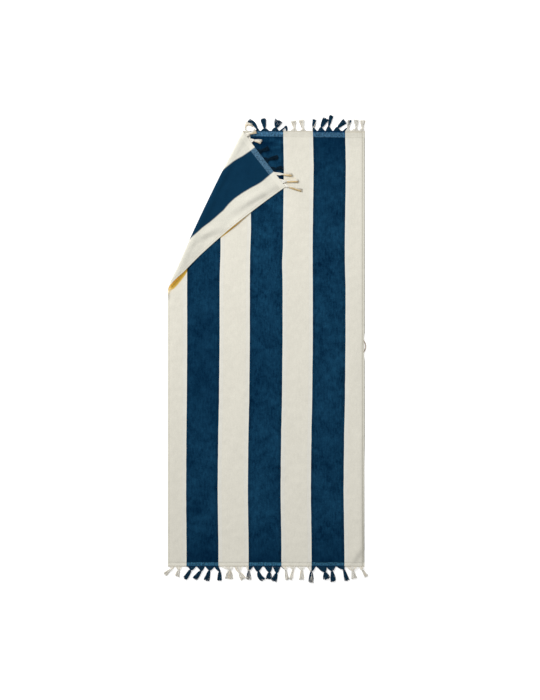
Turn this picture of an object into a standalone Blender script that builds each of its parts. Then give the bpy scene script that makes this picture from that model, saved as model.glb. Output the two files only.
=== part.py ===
"""Striped bath sheet, laid flat with its top left corner turned over onto its front.

One woven cloth, three tasselled fringes and a hanging loop. Metres, +Z up. The origin is the middle of
the cloth's underside, +X is the side with the loop and +Y is the end with the turned-over corner.
A point of the cloth is named by where it is on the flat sheet, (across, along), and by its height
above the sheet's reverse side; cloth_point() folds it into place.
"""

import math
from collections import namedtuple

import bmesh
import bpy
from mathutils import Vector

# The sheet, before it is folded
WIDTH = 0.800
LENGTH = 1.778
THICKNESS = 0.003  # terry loops on the reverse, ground weave and cut pile on the front
STRIPES = (0.078, 0.132, 0.124, 0.132, 0.124, 0.132, 0.078)  # widths: cream, then navy and cream in turn
SIDE_HEM = 0.0085
SIDE_HEM_DROP = 0.0004  # how far the stitched hem lies below the pile
TOP_BAND = 0.0245
END_BAND = 0.018
BAND_DROP = 0.0008  # how far the flat-woven band lies below the pile
STEP = 0.0015  # length of the slope from the pile down to a band or a hem

# The fold: a straight line from the left edge to the top edge, rolled and not pressed flat
FOLD_AT_SIDE = Vector((-WIDTH / 2, 0.229))
FOLD_AT_END = Vector((-0.086, LENGTH / 2))
ROLL_RADIUS_AT_SIDE = 0.005
ROLL_RADIUS_AT_MIDDLE = 0.0080
ROLL_RADIUS_AT_END = 0.0060
CREST_RADIUS = 0.040  # the flap comes down from the roll over a crest, and then eases into its lie
EASE_RADIUS = 0.090
FOLD_BOW = 0.0050  # how far the fold bows outward at its middle
FOLD_SPARE = 0.0100  # length of cloth that the roll's unevenness takes up there
FOLD_SPARE_REACH = 0.09
LAID_HEIGHT = THICKNESS + 0.0006  # from the panel's middle to the flap's middle
FLAP_LIFT = 0.005  # the flap's middle stands this far off the panel, and its free edges lie on it
FLAP_LIFT_RAMP = 0.060
FLAP_EDGE_RAMP = 0.045

# The grid that the cloth is made from: coarse where it lies flat, finer where it bends
GRID = 0.045
FINE_GRID_PAST = 0.020  # the turned-over part has half the grid's spacing from here, past the fold line
CREASE_GRID_REACH = 0.100
CURL_GRID_REACH = 0.060
ROLL_CUTS = (*(0.004 * i for i in range(9)), 0.040, 0.049, 0.058, 0.068, 0.080, 0.094)  # beside the fold

# Soft folds: heights are above the cloth around them, and a trough's is below it
Crease = namedtuple("Crease", "x y heading length width height back", defaults=(0.0,))
PANEL_CREASES = (
    Crease(0.372, -0.838, 54.0, 0.050, 0.012, 0.006, 0.045),
    Crease(0.036, 0.847, -15.0, 0.055, 0.009, 0.0036),
    Crease(0.000, 0.812, 8.0, 0.040, 0.010, 0.0024),
)
FLAP_CREASES = (
    Crease(-0.057, 0.595, -31.0, 0.055, 0.014, -0.0045),
    Crease(-0.245, 0.464, 19.0, 0.075, 0.014, -0.0045),
    Crease(-0.180, 0.656, 62.7, 0.080, 0.010, -0.0040),
    Crease(-0.125, 0.505, 39.0, 0.060, 0.022, 0.0060),
)
EDGE_LIFT = 0.006  # beside its right edge the cloth rises gently and then falls to the edge
EDGE_LIFT_REACH = 0.080
EDGE_FALL = 0.012
EDGE_LIFT_START = -0.050
EDGE_LIFT_RAMP = 0.700
END_RELIEF_RAMP = 0.030  # past the cloth's ends, the fringe comes down to the floor over this length

# The fringes
SEAM = 0.0003
STRIP_WIDTH = 0.0018
STRIP_HEIGHT = 0.0020
REST = 0.0004  # a tassel's lowest point above what it lies on
KNOT_LENGTH = 0.009
KNOT_RADIUS = 0.0044
NECK_RADIUS = 0.0031
KNOT_HALF = 0.35  # the knot's full girth runs this share of its length each way from its middle
KNOT_END = 0.65  # and it has narrowed to the neck here
FLAT_SIDE = math.cos(math.radians(36))  # how far a five-sided section's flat side is from its middle
SCALLOP_RADIUS = 0.0015
SCALLOP_PLACE = 0.45  # the scallop's waist, as a share of the way from root to knot
SCALLOP_WAIST = 0.31  # its half width there, as a share of the root's width
OUT_OF_STRIP = Vector((0, 1))
LOCK_SCALES = (0.62, 0.36)  # a lock's section half way and at its tip, as shares of its section at the neck
LOCK_DROP = 0.7  # below 1, locks come down to the floor early
LOCK_SHORTFALLS = (0.0, 0.004, 0.001, 0.005, 0.002, 0.003, 0.006)

# Root place and width, then knot, tip, the tip's half spread and how far the tail bows to its right, in
# mm. Across is from the sheet's middle, and out is from the end of the cloth.
Tassel = namedtuple("Tassel", "root width knot_across knot_out tip_across tip_out spread bow", defaults=(0,))
END_TASSELS = (
    Tassel(-386, 25, -386, 10, -414, 34, 5),
    Tassel(-356, 29, -356, 14, -363, 42, 6),
    Tassel(-303, 34, -308, 14, -331, 52, 6),
    Tassel(-267, 34, -266, 18, -293, 52, 6),
    Tassel(-229, 37, -231, 16, -243, 59, 7),
    Tassel(-200, 20, -189, 20, -189, 59, 5),
    Tassel(-160, 52, -148, 14, -152, 53, 12),
    Tassel(-112, 36, -110, 22, -91, 53, 7),
    Tassel(-67, 29, -71, 16, -71, 55, 6),
    Tassel(-32, 38, -31, 20, -11, 57, 6),
    Tassel(9, 33, 14, 24, 10, 53, 7),
    Tassel(43, 31, 43, 27, 31, 61, 6),
    Tassel(75, 28, 80, 11, 86, 56, 4),
    Tassel(106, 31, 110, 11, 100, 55, 4),
    Tassel(143, 34, 146, 14, 144, 55, 7),
    Tassel(185, 35, 185, 20, 184, 65, 6),
    Tassel(224, 38, 236, 20, 242, 53, 7),
    Tassel(265, 38, 270, 24, 275, 62, 6),
    Tassel(302, 30, 317, 11, 332, 59, 6),
    Tassel(350, 46, 354, 16, 362, 51, 9),
    Tassel(388, 20, 393, 14, 412, 42, 5),
)
TOP_TASSELS = (
    Tassel(-76, 10, -86, 9, -54, 24, 4, -15),
    Tassel(-36, 24, -34, 9, -68, 43, 5, 9),
    Tassel(-4, 34, -6, 11, -6, 49, 9),
    Tassel(38, 32, 40, 14, 50, 44, 11),
    Tassel(64, 16, 71, 9, 88, 5, 3, -9),
    Tassel(112, 29, 116, 11, 113, 42, 6),
    Tassel(151, 25, 151, 9, 147, 48, 6),
    Tassel(196, 22, 190, 14, 200, 48, 5),
    Tassel(227, 27, 226, 15, 243, 49, 6),
    Tassel(257, 26, 256, 18, 268, 62, 5),
    Tassel(292, 34, 293, 14, 322, 42, 6),
    Tassel(328, 29, 335, 13, 342, 46, 5),
    Tassel(361, 33, 367, 11, 368, 48, 6),
    Tassel(389, 20, 394, 11, 395, 44, 5),
)
CORNER_TASSELS = (
    Tassel(-390, 14, -406, 9, -453, 42, 5),
    Tassel(-368, 20, -382, 14, -411, 55, 5),
    Tassel(-337, 30, -354, 16, -379, 48, 5),
    Tassel(-303, 22, -314, 14, -330, 46, 5),
    Tassel(-257, 30, -262, 14, -277, 49, 6),
    Tassel(-211, 26, -215, 12, -223, 42, 5),
    Tassel(-150, 22, -160, 14, -184, 34, 6),
    Tassel(-121, 14, -124, 14, -132, 44, 4),
)
TOP_STRIP = (-0.082, WIDTH / 2)
CORNER_STRIP = (-WIDTH / 2, -0.112)

# The hanging loop, on the right edge at the middle of its length
LOOP_Y = 0.0098
LOOP_CHORD = 0.049
LOOP_REACH = 0.0082
LOOP_BAND = 0.0024
LOOP_HEIGHT = 0.0040
LOOP_STEPS = 14

NAVY = (0.0065, 0.036, 0.078)
CREAM = (0.70, 0.66, 0.56)
LEATHER = (0.27, 0.19, 0.13)


def smooth(value):
    """0 up to 0, 1 from 1, and an even slope between."""
    value = min(max(value, 0.0), 1.0)
    return value * value * (3 - 2 * value)


def material(name, color, roughness):
    made = bpy.data.materials.new(name)
    made.use_nodes = True
    shader = made.node_tree.nodes["Principled BSDF"]
    shader.inputs["Base Color"].default_value = (*color, 1.0)
    shader.inputs["Roughness"].default_value = roughness
    made.diffuse_color = (*color, 1.0)
    return made


# ---------------------------------------------------------------- where a point of the sheet lies


FOLD_LENGTH = (FOLD_AT_END - FOLD_AT_SIDE).length
FOLD_ALONG = (FOLD_AT_END - FOLD_AT_SIDE).normalized()
FOLD_OUTWARD = Vector((-FOLD_ALONG.y, FOLD_ALONG.x))


def fold_place(across, along):
    """(how far past the fold line, how far along it from its middle)."""
    arm = Vector((across, along)) - (FOLD_AT_SIDE + FOLD_AT_END) / 2
    return arm.dot(FOLD_OUTWARD), arm.dot(FOLD_ALONG)


def fold_middleness(place):
    """1 at the fold's middle and 0 at its ends."""
    return 1 - min(abs(place) / (FOLD_LENGTH / 2), 1.0) ** 2


def roll_radius(place):
    """The radius of the roll's middle surface."""
    end = ROLL_RADIUS_AT_SIDE if place < 0 else ROLL_RADIUS_AT_END
    return end + (ROLL_RADIUS_AT_MIDDLE - end) * fold_middleness(place)


def bend(past, radius):
    """(distance outward from the fold line, height, turn) of the cloth's middle surface."""
    over = math.acos(1 - (2 * radius - LAID_HEIGHT) / (CREST_RADIUS + EASE_RADIUS))
    turn = min(max(past / radius, 0.0), math.pi)
    rest = max(past - math.pi * radius, 0.0)
    crest = min(rest / CREST_RADIUS, over)
    rest = max(rest - CREST_RADIUS * over, 0.0)
    eased = min(rest / EASE_RADIUS, over)
    rest = max(rest - EASE_RADIUS * over, 0.0)
    back = CREST_RADIUS * math.sin(crest) + EASE_RADIUS * (math.sin(over) - math.sin(over - eased)) + rest
    down = CREST_RADIUS * (1 - math.cos(crest)) + EASE_RADIUS * (math.cos(over - eased) - math.cos(over))
    outward = min(past, 0.0) + radius * math.sin(turn) - back
    return outward, radius * (1 - math.cos(turn)) - down, turn + crest - eased


def crease_height(creases, x, y):
    total = 0.0
    for crease in creases:
        arm = Vector((x - crease.x, y - crease.y))
        heading = math.radians(crease.heading)
        down = arm.dot(Vector((math.cos(heading), math.sin(heading)))) / crease.length
        side = arm.dot(Vector((-math.sin(heading), math.cos(heading))))
        side /= crease.back if side > 0 and crease.back else crease.width
        total += crease.height * math.exp(-down * down - side * side)
    return total


def panel_relief(x, y):
    """How far the cloth that lies on the floor is lifted from it, dying away past the cloth's ends."""
    beyond = max(abs(y) - LENGTH / 2, 0.0)
    inside = max(min(y, LENGTH / 2), -LENGTH / 2)
    lifted = smooth((x - WIDTH / 2 + EDGE_LIFT_REACH) / EDGE_LIFT_REACH)
    lifted *= 1 - smooth((x - WIDTH / 2 + EDGE_FALL) / EDGE_FALL)
    lifted *= EDGE_LIFT * smooth((EDGE_LIFT_START - inside) / EDGE_LIFT_RAMP)
    return (lifted + crease_height(PANEL_CREASES, x, inside)) * (1 - smooth(beyond / END_RELIEF_RAMP))


def flap_relief(across, along, past, x, y):
    """How far the flap is lifted from the panel under it, which at its free edges only a crease does."""
    inward = past - math.pi * ROLL_RADIUS_AT_MIDDLE
    edge = min(across + WIDTH / 2, max(LENGTH / 2 - along, 0.0))
    base = FLAP_LIFT * smooth(inward / FLAP_LIFT_RAMP) * smooth(edge / FLAP_EDGE_RAMP)
    creases = crease_height(FLAP_CREASES, x, y) * smooth(inward / FLAP_LIFT_RAMP)
    return max(base + creases, 0.0)


def cloth_point(across, along, height):
    """Where a point of the flat sheet lies once the corner is turned over."""
    past, place = fold_place(across, along)
    middleness = fold_middleness(place)
    beyond = past - FOLD_BOW * middleness
    drawn = beyond - FOLD_SPARE * middleness * smooth(beyond / FOLD_SPARE_REACH)
    outward, middle, turn = bend(drawn, roll_radius(place))
    offset = height - THICKNESS / 2
    outward += FOLD_BOW * middleness - offset * math.sin(turn)
    flat = Vector((across, along)) + FOLD_OUTWARD * (outward - past)
    z = THICKNESS / 2 + middle + offset * math.cos(turn) + panel_relief(flat.x, flat.y)
    if past > 0:
        z += flap_relief(across, along, past, flat.x, flat.y)
    return Vector((flat.x, flat.y, z))


# ---------------------------------------------------------------- the cloth


def ruled(stops, step):
    """The stops, with each stretch between two of them divided evenly into steps no longer than this."""
    lines = [stops[0]]
    for start, stop in zip(stops, stops[1:]):
        count = max(math.ceil((stop - start) / step - 1e-6), 1)
        lines += [start + (stop - start) * i / count for i in range(1, count + 1)]
    return lines


def stripe_edges():
    edges = [-WIDTH / 2]
    for stripe in STRIPES:
        edges.append(edges[-1] + stripe)
    return edges


def pile_height(across, along):
    """The cloth's thickness: less on the side hems and on the flat-woven bands."""
    hem = smooth((abs(across) - WIDTH / 2 + SIDE_HEM) / STEP)
    band = smooth((along - LENGTH / 2 + TOP_BAND) / STEP)
    band += smooth((-along - LENGTH / 2 + END_BAND) / STEP)
    return THICKNESS - max(SIDE_HEM_DROP * hem, BAND_DROP * band)


def refine(sheet, wanted):
    """Halves the grid where wanted(across, along) holds."""
    chosen = [e for e in sheet.edges if all(wanted(v.co.x, v.co.y) for v in e.verts)]
    bmesh.ops.subdivide_edges(sheet, edges=chosen, cuts=1, use_grid_fill=True)


def near(x, y, reach):
    return lambda across, along: (across - x) ** 2 + (along - y) ** 2 < reach**2


def flat_sheet():
    """The sheet as a flat grid, with lines where a stripe, a hem, a band or the roll bends it."""
    hem = WIDTH / 2 - SIDE_HEM
    edges = stripe_edges()
    columns = ruled([edges[0], -hem, -hem + STEP, *edges[1:-1], hem - STEP, hem, edges[-1]], GRID)
    columns = [c for c in columns if abs(abs(c) - hem + STEP) > 1e-6] + [-hem - STEP, hem + STEP]
    columns.sort()
    top, end = LENGTH / 2 - TOP_BAND, -LENGTH / 2 + END_BAND
    rows = ruled([-LENGTH / 2, end - STEP, end, top, top + STEP, LENGTH / 2], GRID)
    sheet = bmesh.new()
    bmesh.ops.create_grid(sheet, x_segments=len(columns) - 1, y_segments=len(rows) - 1, size=1)
    for vert in sheet.verts:
        column = round((vert.co.x + 1) / 2 * (len(columns) - 1))
        row = round((vert.co.y + 1) / 2 * (len(rows) - 1))
        vert.co = (columns[column], rows[row], 0.0)
    refine(sheet, lambda across, along: fold_place(across, along)[0] > FINE_GRID_PAST)
    for crease in PANEL_CREASES:
        refine(sheet, near(crease.x, crease.y, CREASE_GRID_REACH))
    refine(sheet, near(PANEL_CREASES[0].x, PANEL_CREASES[0].y, CURL_GRID_REACH))
    for past in ROLL_CUTS:
        start = FOLD_AT_SIDE + FOLD_OUTWARD * past
        bmesh.ops.bisect_plane(
            sheet,
            geom=[*sheet.verts, *sheet.edges, *sheet.faces],
            dist=1e-5,
            plane_co=(start.x, start.y, 0.0),
            plane_no=(FOLD_OUTWARD.x, FOLD_OUTWARD.y, 0.0),
        )
    return sheet


def stripe_of(across):
    """0 on a cream stripe and 1 on a navy one."""
    return (sum(across > edge for edge in stripe_edges()[:-1]) - 1) % 2


def build_cloth(collection):
    sheet = flat_sheet()
    for face in sheet.faces:
        face.material_index = stripe_of(face.calc_center_median().x)
    made = bmesh.ops.extrude_face_region(sheet, geom=sheet.faces[:])
    front = {part for part in made["geom"] if isinstance(part, bmesh.types.BMVert)}
    for vert in sheet.verts:
        across, along = vert.co.x, vert.co.y
        vert.co = cloth_point(across, along, pile_height(across, along) if vert in front else 0.0)
    bmesh.ops.triangulate(sheet, faces=sheet.faces[:])
    materials = (material("cream_terry", CREAM, 0.95), material("navy_terry", NAVY, 0.95))
    return to_object(sheet, "towel_cloth", materials, collection)


def to_object(form, name, materials, collection):
    bmesh.ops.recalc_face_normals(form, faces=form.faces[:])
    mesh = bpy.data.meshes.new(name)
    form.to_mesh(mesh)
    form.free()
    for item in materials:
        mesh.materials.append(item)
    made = bpy.data.objects.new(name, mesh)
    collection.objects.link(made)
    return made


# ---------------------------------------------------------------- the fringes


def out_of_bottom(across, out, height):
    """A fringe point at the plain end."""
    return cloth_point(across, -LENGTH / 2 - out, height)


def out_of_top(across, out, height):
    """A fringe point at the top end, where the cloth isn't turned over."""
    return Vector((across, LENGTH / 2 + out, height + panel_relief(across, LENGTH / 2 + out)))


def out_of_corner(across, out, height):
    """A fringe point at the turned-over end, whose front side lies down."""
    return cloth_point(across, LENGTH / 2 + out, THICKNESS - height)


def ring_shape(role):
    """The point of a five-sided section, flat side down, for a point of the strip's six-sided face."""
    side, level = role.x, role.y
    if side == 0:
        return Vector((0.0, 1.0 if level > 0 else -FLAT_SIDE))
    turn = math.radians(18 if level > 0 else -54)
    return Vector((side * math.cos(turn), math.sin(turn)))


def grow_ring(form, face, role, middle, heading, half_width, radius):
    """Extrudes a face to a section that rests around a point, square to heading. Returns its face."""
    made = bmesh.ops.extrude_face_region(form, geom=[face])["geom"]
    bmesh.ops.delete(form, geom=[face], context="FACES_ONLY")
    ring = next(part for part in made if isinstance(part, bmesh.types.BMFace))
    sideways = Vector((heading.y, -heading.x))
    for vert in ring.verts:
        shape = ring_shape(vert[role])
        flat = middle + sideways * (shape.x * half_width)
        vert.co = (flat.x, flat.y, REST + radius * (FLAT_SIDE + shape.y))
    return ring


def split_locks(form, ring):
    """Divides a knot's end face into five, and returns them in order from one side to the other."""
    parts = bmesh.ops.poke(form, faces=[ring])["faces"]
    parts.sort(key=lambda part: part.calc_center_median().z)
    lowest = bmesh.ops.dissolve_faces(form, faces=parts[:2], use_verts=False)["region"]
    return lowest + parts[2:]


def grow_tassel(form, face, role, tassel, order):
    """A scallop from the strip's face, a knot and five locks, in (across, out, height)."""
    root = Vector((tassel.root, 0.0)) / 1000
    root.y = SEAM + STRIP_WIDTH
    knot = Vector((tassel.knot_across, tassel.knot_out)) / 1000
    tip = Vector((tassel.tip_across, tassel.tip_out)) / 1000
    neck_heading = (tip - knot).normalized()
    heading = ((knot - root).normalized() + neck_heading).normalized()
    neck = knot + neck_heading * (KNOT_LENGTH * KNOT_END)
    waist = tassel.width / 1000 * SCALLOP_WAIST
    sections = (
        (root.lerp(knot, SCALLOP_PLACE), OUT_OF_STRIP, waist, SCALLOP_RADIUS),
        (knot - heading * (KNOT_LENGTH * KNOT_HALF), heading, KNOT_RADIUS, KNOT_RADIUS),
        (knot + neck_heading * (KNOT_LENGTH * KNOT_HALF), neck_heading, KNOT_RADIUS, KNOT_RADIUS),
        (neck, neck_heading, NECK_RADIUS, NECK_RADIUS),
    )
    for section in sections:
        face = grow_ring(form, face, role, *section)
    grow_locks(form, split_locks(form, face), neck, tip, neck_heading, tassel, order)


def grow_locks(form, faces, neck, tip, heading, tassel, order):
    """Extrudes each face into a tapering lock that comes down to rest, the outer ones spreading out."""
    sideways = Vector((heading.y, -heading.x))
    starts = [(face.calc_center_median() - Vector((*neck, 0))).xy.dot(sideways) for face in faces]
    ranked = sorted(range(len(faces)), key=lambda i: starts[i])
    locks = bmesh.ops.extrude_discrete_faces(form, faces=faces)["faces"]
    for rank, lock_index in enumerate(ranked):
        lock = locks[lock_index]
        base = lock.calc_center_median()
        arms = [vert.co - base for vert in lock.verts]
        share = 2 * rank / (len(ranked) - 1) - 1
        short = LOCK_SHORTFALLS[(order * 3 + rank) % len(LOCK_SHORTFALLS)]
        end = tip + sideways * (share * tassel.spread / 1000) - heading * short
        for progress, scale in zip((0.5, 1.0), LOCK_SCALES):
            if progress == 1.0:
                lock = bmesh.ops.extrude_discrete_faces(form, faces=[lock])["faces"][0]
            flat = base.xy.lerp(end, progress) + sideways * (tassel.bow / 250 * progress * (1 - progress))
            lowest = REST - min(arm.z for arm in arms) * scale
            height = base.z + (lowest - base.z) * progress**LOCK_DROP
            for vert, arm in zip(lock.verts, arms):
                vert.co = Vector((*flat, height)) + arm * scale


def build_fringe(name, tassels, place, strip, collection, finish):
    """A narrow strip beside the cloth's end, with each tassel grown out of its face."""
    columns = [strip[0]]
    for tassel in tassels:
        middle, half = tassel.root / 1000, tassel.width / 2000
        columns += [middle - half, middle, middle + half]
    columns.append(strip[1])
    form = bmesh.new()
    role = form.verts.layers.float_vector.new("role")
    bmesh.ops.create_grid(form, x_segments=len(columns) - 1, y_segments=1, size=1)
    for vert in form.verts:
        column = round((vert.co.x + 1) / 2 * (len(columns) - 1))
        top = vert.co.y > 0
        side = (column - 1) % 3 - 1  # -1 at a tassel's left, 0 at its middle and 1 at its right
        vert[role] = Vector((side, 1 if top else -1, 0))
        vert.co = (columns[column], SEAM + STRIP_WIDTH, REST + (STRIP_HEIGHT if top else 0))
    faces = sorted(form.faces, key=lambda face: face.calc_center_median().x)
    made = bmesh.ops.extrude_face_region(form, geom=faces)["geom"]
    for part in made:
        if isinstance(part, bmesh.types.BMVert):
            part.co.y = SEAM
    for order, tassel in enumerate(tassels):
        pair = faces[order * 3 + 1 : order * 3 + 3]
        root = bmesh.ops.dissolve_faces(form, faces=pair, use_verts=False)["region"][0]
        grow_tassel(form, root, role, tassel, order)
    for vert in form.verts:
        vert.co = place(*vert.co)
    bmesh.ops.triangulate(form, faces=form.faces[:])
    return to_object(form, name, (finish,), collection)


# ---------------------------------------------------------------- the hanging loop


def build_loop(collection):
    """A narrow band bowed out from the right edge, its two ends at the hem."""
    radius = (LOOP_CHORD**2 / 4 + LOOP_REACH**2) / (2 * LOOP_REACH)
    center = WIDTH / 2 + LOOP_REACH - radius
    hem = WIDTH / 2 + SEAM
    points = []
    for band, turns in ((radius, range(LOOP_STEPS + 1)), (radius - LOOP_BAND, range(LOOP_STEPS, -1, -1))):
        half = math.acos((hem - center) / band)
        for i in turns:
            angle = half * (2 * i / LOOP_STEPS - 1)
            points.append((center + band * math.cos(angle), LOOP_Y + band * math.sin(angle)))
    outline = bpy.data.curves.new("hang_loop", "CURVE")
    outline.dimensions = "2D"
    outline.fill_mode = "BOTH"
    outline.extrude = LOOP_HEIGHT / 2
    spline = outline.splines.new("POLY")
    spline.use_cyclic_u = True
    spline.points.add(len(points) - 1)
    for spot, (x, y) in zip(spline.points, points):
        spot.co = (x, y, 0.0, 1.0)
    outline.materials.append(material("brown_leather", LEATHER, 0.6))
    loop = bpy.data.objects.new("hang_loop", outline)
    loop.location.z = REST + LOOP_HEIGHT / 2
    collection.objects.link(loop)
    return loop


def main():
    for item in list(bpy.data.objects):
        bpy.data.objects.remove(item)
    collection = bpy.data.collections.new("bath_sheet")
    bpy.context.scene.collection.children.link(collection)
    build_cloth(collection)
    yarn = material("fringe_yarn", CREAM, 0.9)
    whole = (-WIDTH / 2, WIDTH / 2)
    build_fringe("fringe_bottom", END_TASSELS, out_of_bottom, whole, collection, yarn)
    build_fringe("fringe_top", TOP_TASSELS, out_of_top, TOP_STRIP, collection, yarn)
    build_fringe("fringe_corner", CORNER_TASSELS, out_of_corner, CORNER_STRIP, collection, yarn)
    build_loop(collection)


main()
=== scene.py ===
"""Looks of a striped bath sheet with knotted fringes, laid flat with its top left corner turned over.

The cloth, the fringes and the hanging loop are made on the solids' own places: metres, +Z up, the origin
in the middle of the cloth's underside, +X the side with the loop, +Y the end with the turned-over corner.
A point of the cloth is named by its place on the flat sheet, (across, along), and by its height above the
sheet's reverse side, and cloth_points() folds it into place.
"""

import math
from collections import namedtuple

import bmesh
import bpy
import numpy as np
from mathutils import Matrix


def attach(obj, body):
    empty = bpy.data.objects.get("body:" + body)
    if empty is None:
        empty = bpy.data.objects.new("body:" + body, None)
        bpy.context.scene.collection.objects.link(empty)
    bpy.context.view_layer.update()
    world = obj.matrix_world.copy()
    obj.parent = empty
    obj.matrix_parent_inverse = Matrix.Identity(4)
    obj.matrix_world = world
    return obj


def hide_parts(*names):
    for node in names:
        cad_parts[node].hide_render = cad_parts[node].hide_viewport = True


bl_info = {
    "name": "Striped bath sheet",
    "version": (1, 0, 0),
    "blender": (4, 5, 0),
    "location": "3D View > Sidebar > Bath sheet",
    "description": "A striped bath sheet with knotted fringes, one corner turned over",
    "category": "Add Mesh",
}

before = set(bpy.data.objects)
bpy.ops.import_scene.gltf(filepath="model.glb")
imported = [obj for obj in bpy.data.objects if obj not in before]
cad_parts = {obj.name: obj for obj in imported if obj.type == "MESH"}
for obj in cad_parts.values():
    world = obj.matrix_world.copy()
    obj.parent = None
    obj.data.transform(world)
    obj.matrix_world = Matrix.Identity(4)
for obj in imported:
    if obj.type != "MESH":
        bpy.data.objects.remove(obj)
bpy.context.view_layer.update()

# ---------------------------------------------------------------- sizes, in metres

WIDTH = 0.800
LENGTH = 1.778
THICKNESS = 0.003
SIDE_HEM = 0.0070
TOP_BAND = 0.0245
END_BAND = 0.018
REVERSE_BAND_SHORT = 0.003  # on the reverse the loops run this far over the top band
HALF_WIDTH = WIDTH / 2
HALF_LENGTH = LENGTH / 2
SIDE_HEM_DROP = 0.0004
BAND_DROP = 0.0008
STEP = 0.0015
HEM_GROOVE = 0.0005
HEM_GROOVE_WIDTH = 0.0012
LEFT_GROOVE = 0.3  # the left hem's stitches are drawn less tight
NEAR = 1e-6  # as close as this, a point is on an edge
RIM_BULGE = 0.0005
RIM_SPACING = 0.002  # from the edge to the first line of the mesh inside it
STRIPE_CENTRES = 0.256  # from the middle stripe to the next one of its colour
STRIPE_HALF = 0.066

# The fold: a straight line from the left edge to the top edge, rolled and not pressed flat
FOLD_AT_SIDE = np.array((-HALF_WIDTH, 0.229))
FOLD_AT_END = np.array((-0.086, HALF_LENGTH))
ROLL_RADIUS_AT_SIDE = 0.0042
ROLL_RADIUS_AT_MIDDLE = 0.0080
ROLL_RADIUS_AT_END = 0.0060
CREST_RADIUS = 0.040  # the flap comes down from the roll over a crest, and then eases into its lie
EASE_RADIUS = 0.120
FOLD_BOW = 0.0050  # how far the fold bows outward at its middle
FOLD_SPARE = 0.0100  # length of cloth that the roll's unevenness takes up there
FOLD_SPARE_RAMP = 0.090
LAID_HEIGHT = THICKNESS + 0.0006
FLAP_LIFT = 0.005
FLAP_LIFT_RAMP = 0.060
FLAP_EDGE_RAMP = 0.055
ROLL_CUT = 0.0028
ROLL_CUTS = 20

# Soft folds: heights are above the cloth around them, and a trough's is below it
Crease = namedtuple("Crease", "x y heading length width height back", defaults=(0.0,))
PANEL_CREASES = (
    Crease(0.372, -0.838, 54.0, 0.050, 0.012, 0.006, 0.045),
    Crease(0.036, 0.847, -15.0, 0.055, 0.009, 0.0036),
    Crease(0.000, 0.812, 8.0, 0.040, 0.010, 0.0024),
    Crease(0.355, -0.872, 20.0, 0.040, 0.010, 0.0016),
    Crease(0.150, 0.838, 4.0, 0.120, 0.014, 0.0008),
    Crease(-0.235, -0.842, -7.0, 0.130, 0.015, 0.0008),
    Crease(0.070, -0.848, 5.0, 0.110, 0.013, 0.0009),
)
FLAP_CREASES = (
    Crease(-0.038, 0.592, 29.0, 0.080, 0.012, -0.0062),
    Crease(-0.051, 0.613, 29.0, 0.075, 0.016, 0.0048),
    Crease(-0.213, 0.454, 17.0, 0.055, 0.012, -0.0048),
    Crease(-0.228, 0.478, 22.0, 0.050, 0.015, 0.0050),
    Crease(-0.296, 0.414, 56.0, 0.040, 0.012, -0.0030),
    Crease(-0.180, 0.656, 62.7, 0.080, 0.010, -0.0040),
    Crease(-0.125, 0.505, 39.0, 0.060, 0.022, 0.0060),
)
FINE_FLAP_CREASES = (
    Crease(-0.300, 0.430, 40.0, 0.050, 0.010, 0.0016),
    Crease(-0.215, 0.560, 52.0, 0.060, 0.014, -0.0012),
    Crease(-0.010, 0.690, -50.0, 0.045, 0.012, 0.0012),
    Crease(-0.095, 0.735, -62.0, 0.050, 0.011, 0.0014),
    Crease(-0.140, 0.800, -40.0, 0.040, 0.010, -0.0010),
)
EDGE_LIFT = 0.006  # beside its right edge the cloth rises gently and then falls to the edge
EDGE_LIFT_REACH = 0.080
EDGE_FALL = 0.012
EDGE_LIFT_START = -0.050
EDGE_LIFT_RAMP = 0.700
RIGHT_EDGE_TURN = 0.0036  # the right edge is turned under, so its side slopes out to the floor
RIGHT_EDGE_TURN_LOST = 0.5  # and less so towards the end
RIGHT_EDGE_LOSS_START = -0.350
RIGHT_EDGE_LOSS_RAMP = 0.150
END_RELIEF_RAMP = 0.030
PUCKER_PITCH = 0.036  # the knots draw the ends into small waves
PUCKER_HEIGHT = 0.0011
PUCKER_REACH = 0.060
SWELLS = (  # soft waves all over: height, how much they are drawn out along the sheet, pitch, waves, seed
    (0.0011, 0.35, 0.075, 9, 3),
    (0.0006, 1.0, 0.040, 12, 5),
)

# Where the stripes wander sideways: (along, how far)
PANEL_DRIFT = (
    (-0.879, -0.0047), (-0.800, -0.0048), (-0.732, -0.0058), (-0.617, -0.0075),
    (-0.576, -0.0078), (-0.454, -0.0067), (-0.332, -0.0051), (-0.209, -0.0024),
    (0.035, 0.0), (0.444, 0.0), (0.738, 0.0041), (0.885, 0.0012),
)
FLAP_DRIFT = (
    (0.459, 0.004), (0.519, 0.002), (0.561, -0.004), (0.590, -0.005),
    (0.636, -0.003), (0.668, 0.004), (0.702, 0.0075), (0.745, 0.0065),
    (0.785, 0.0045), (0.831, -0.001), (0.889, 0.003),
)
LEFT_DRIFT_RAMP = 0.140  # the drift dies away over these widths towards the side edges
RIGHT_DRIFT_RAMP = 0.050
STRIPE_FOLD_BLEND = 0.050  # and passes over into the flap's over this length at the fold
FLAP_WIDENING = 0.0040  # how much further out each edge of the corner's navy stripe lies near its end
FLAP_WIDE_AT = 0.800
FLAP_WIDE_REACH = 0.050
# Beside the flap's edge and at the left stripe's right edge: x, y, half width, half length, how far right
STRIPE_DRAGS = (
    (-0.130, 0.490, 0.100, 0.090, 0.0060),
    (-0.190, 0.380, 0.030, 0.070, 0.0032),
)
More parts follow.
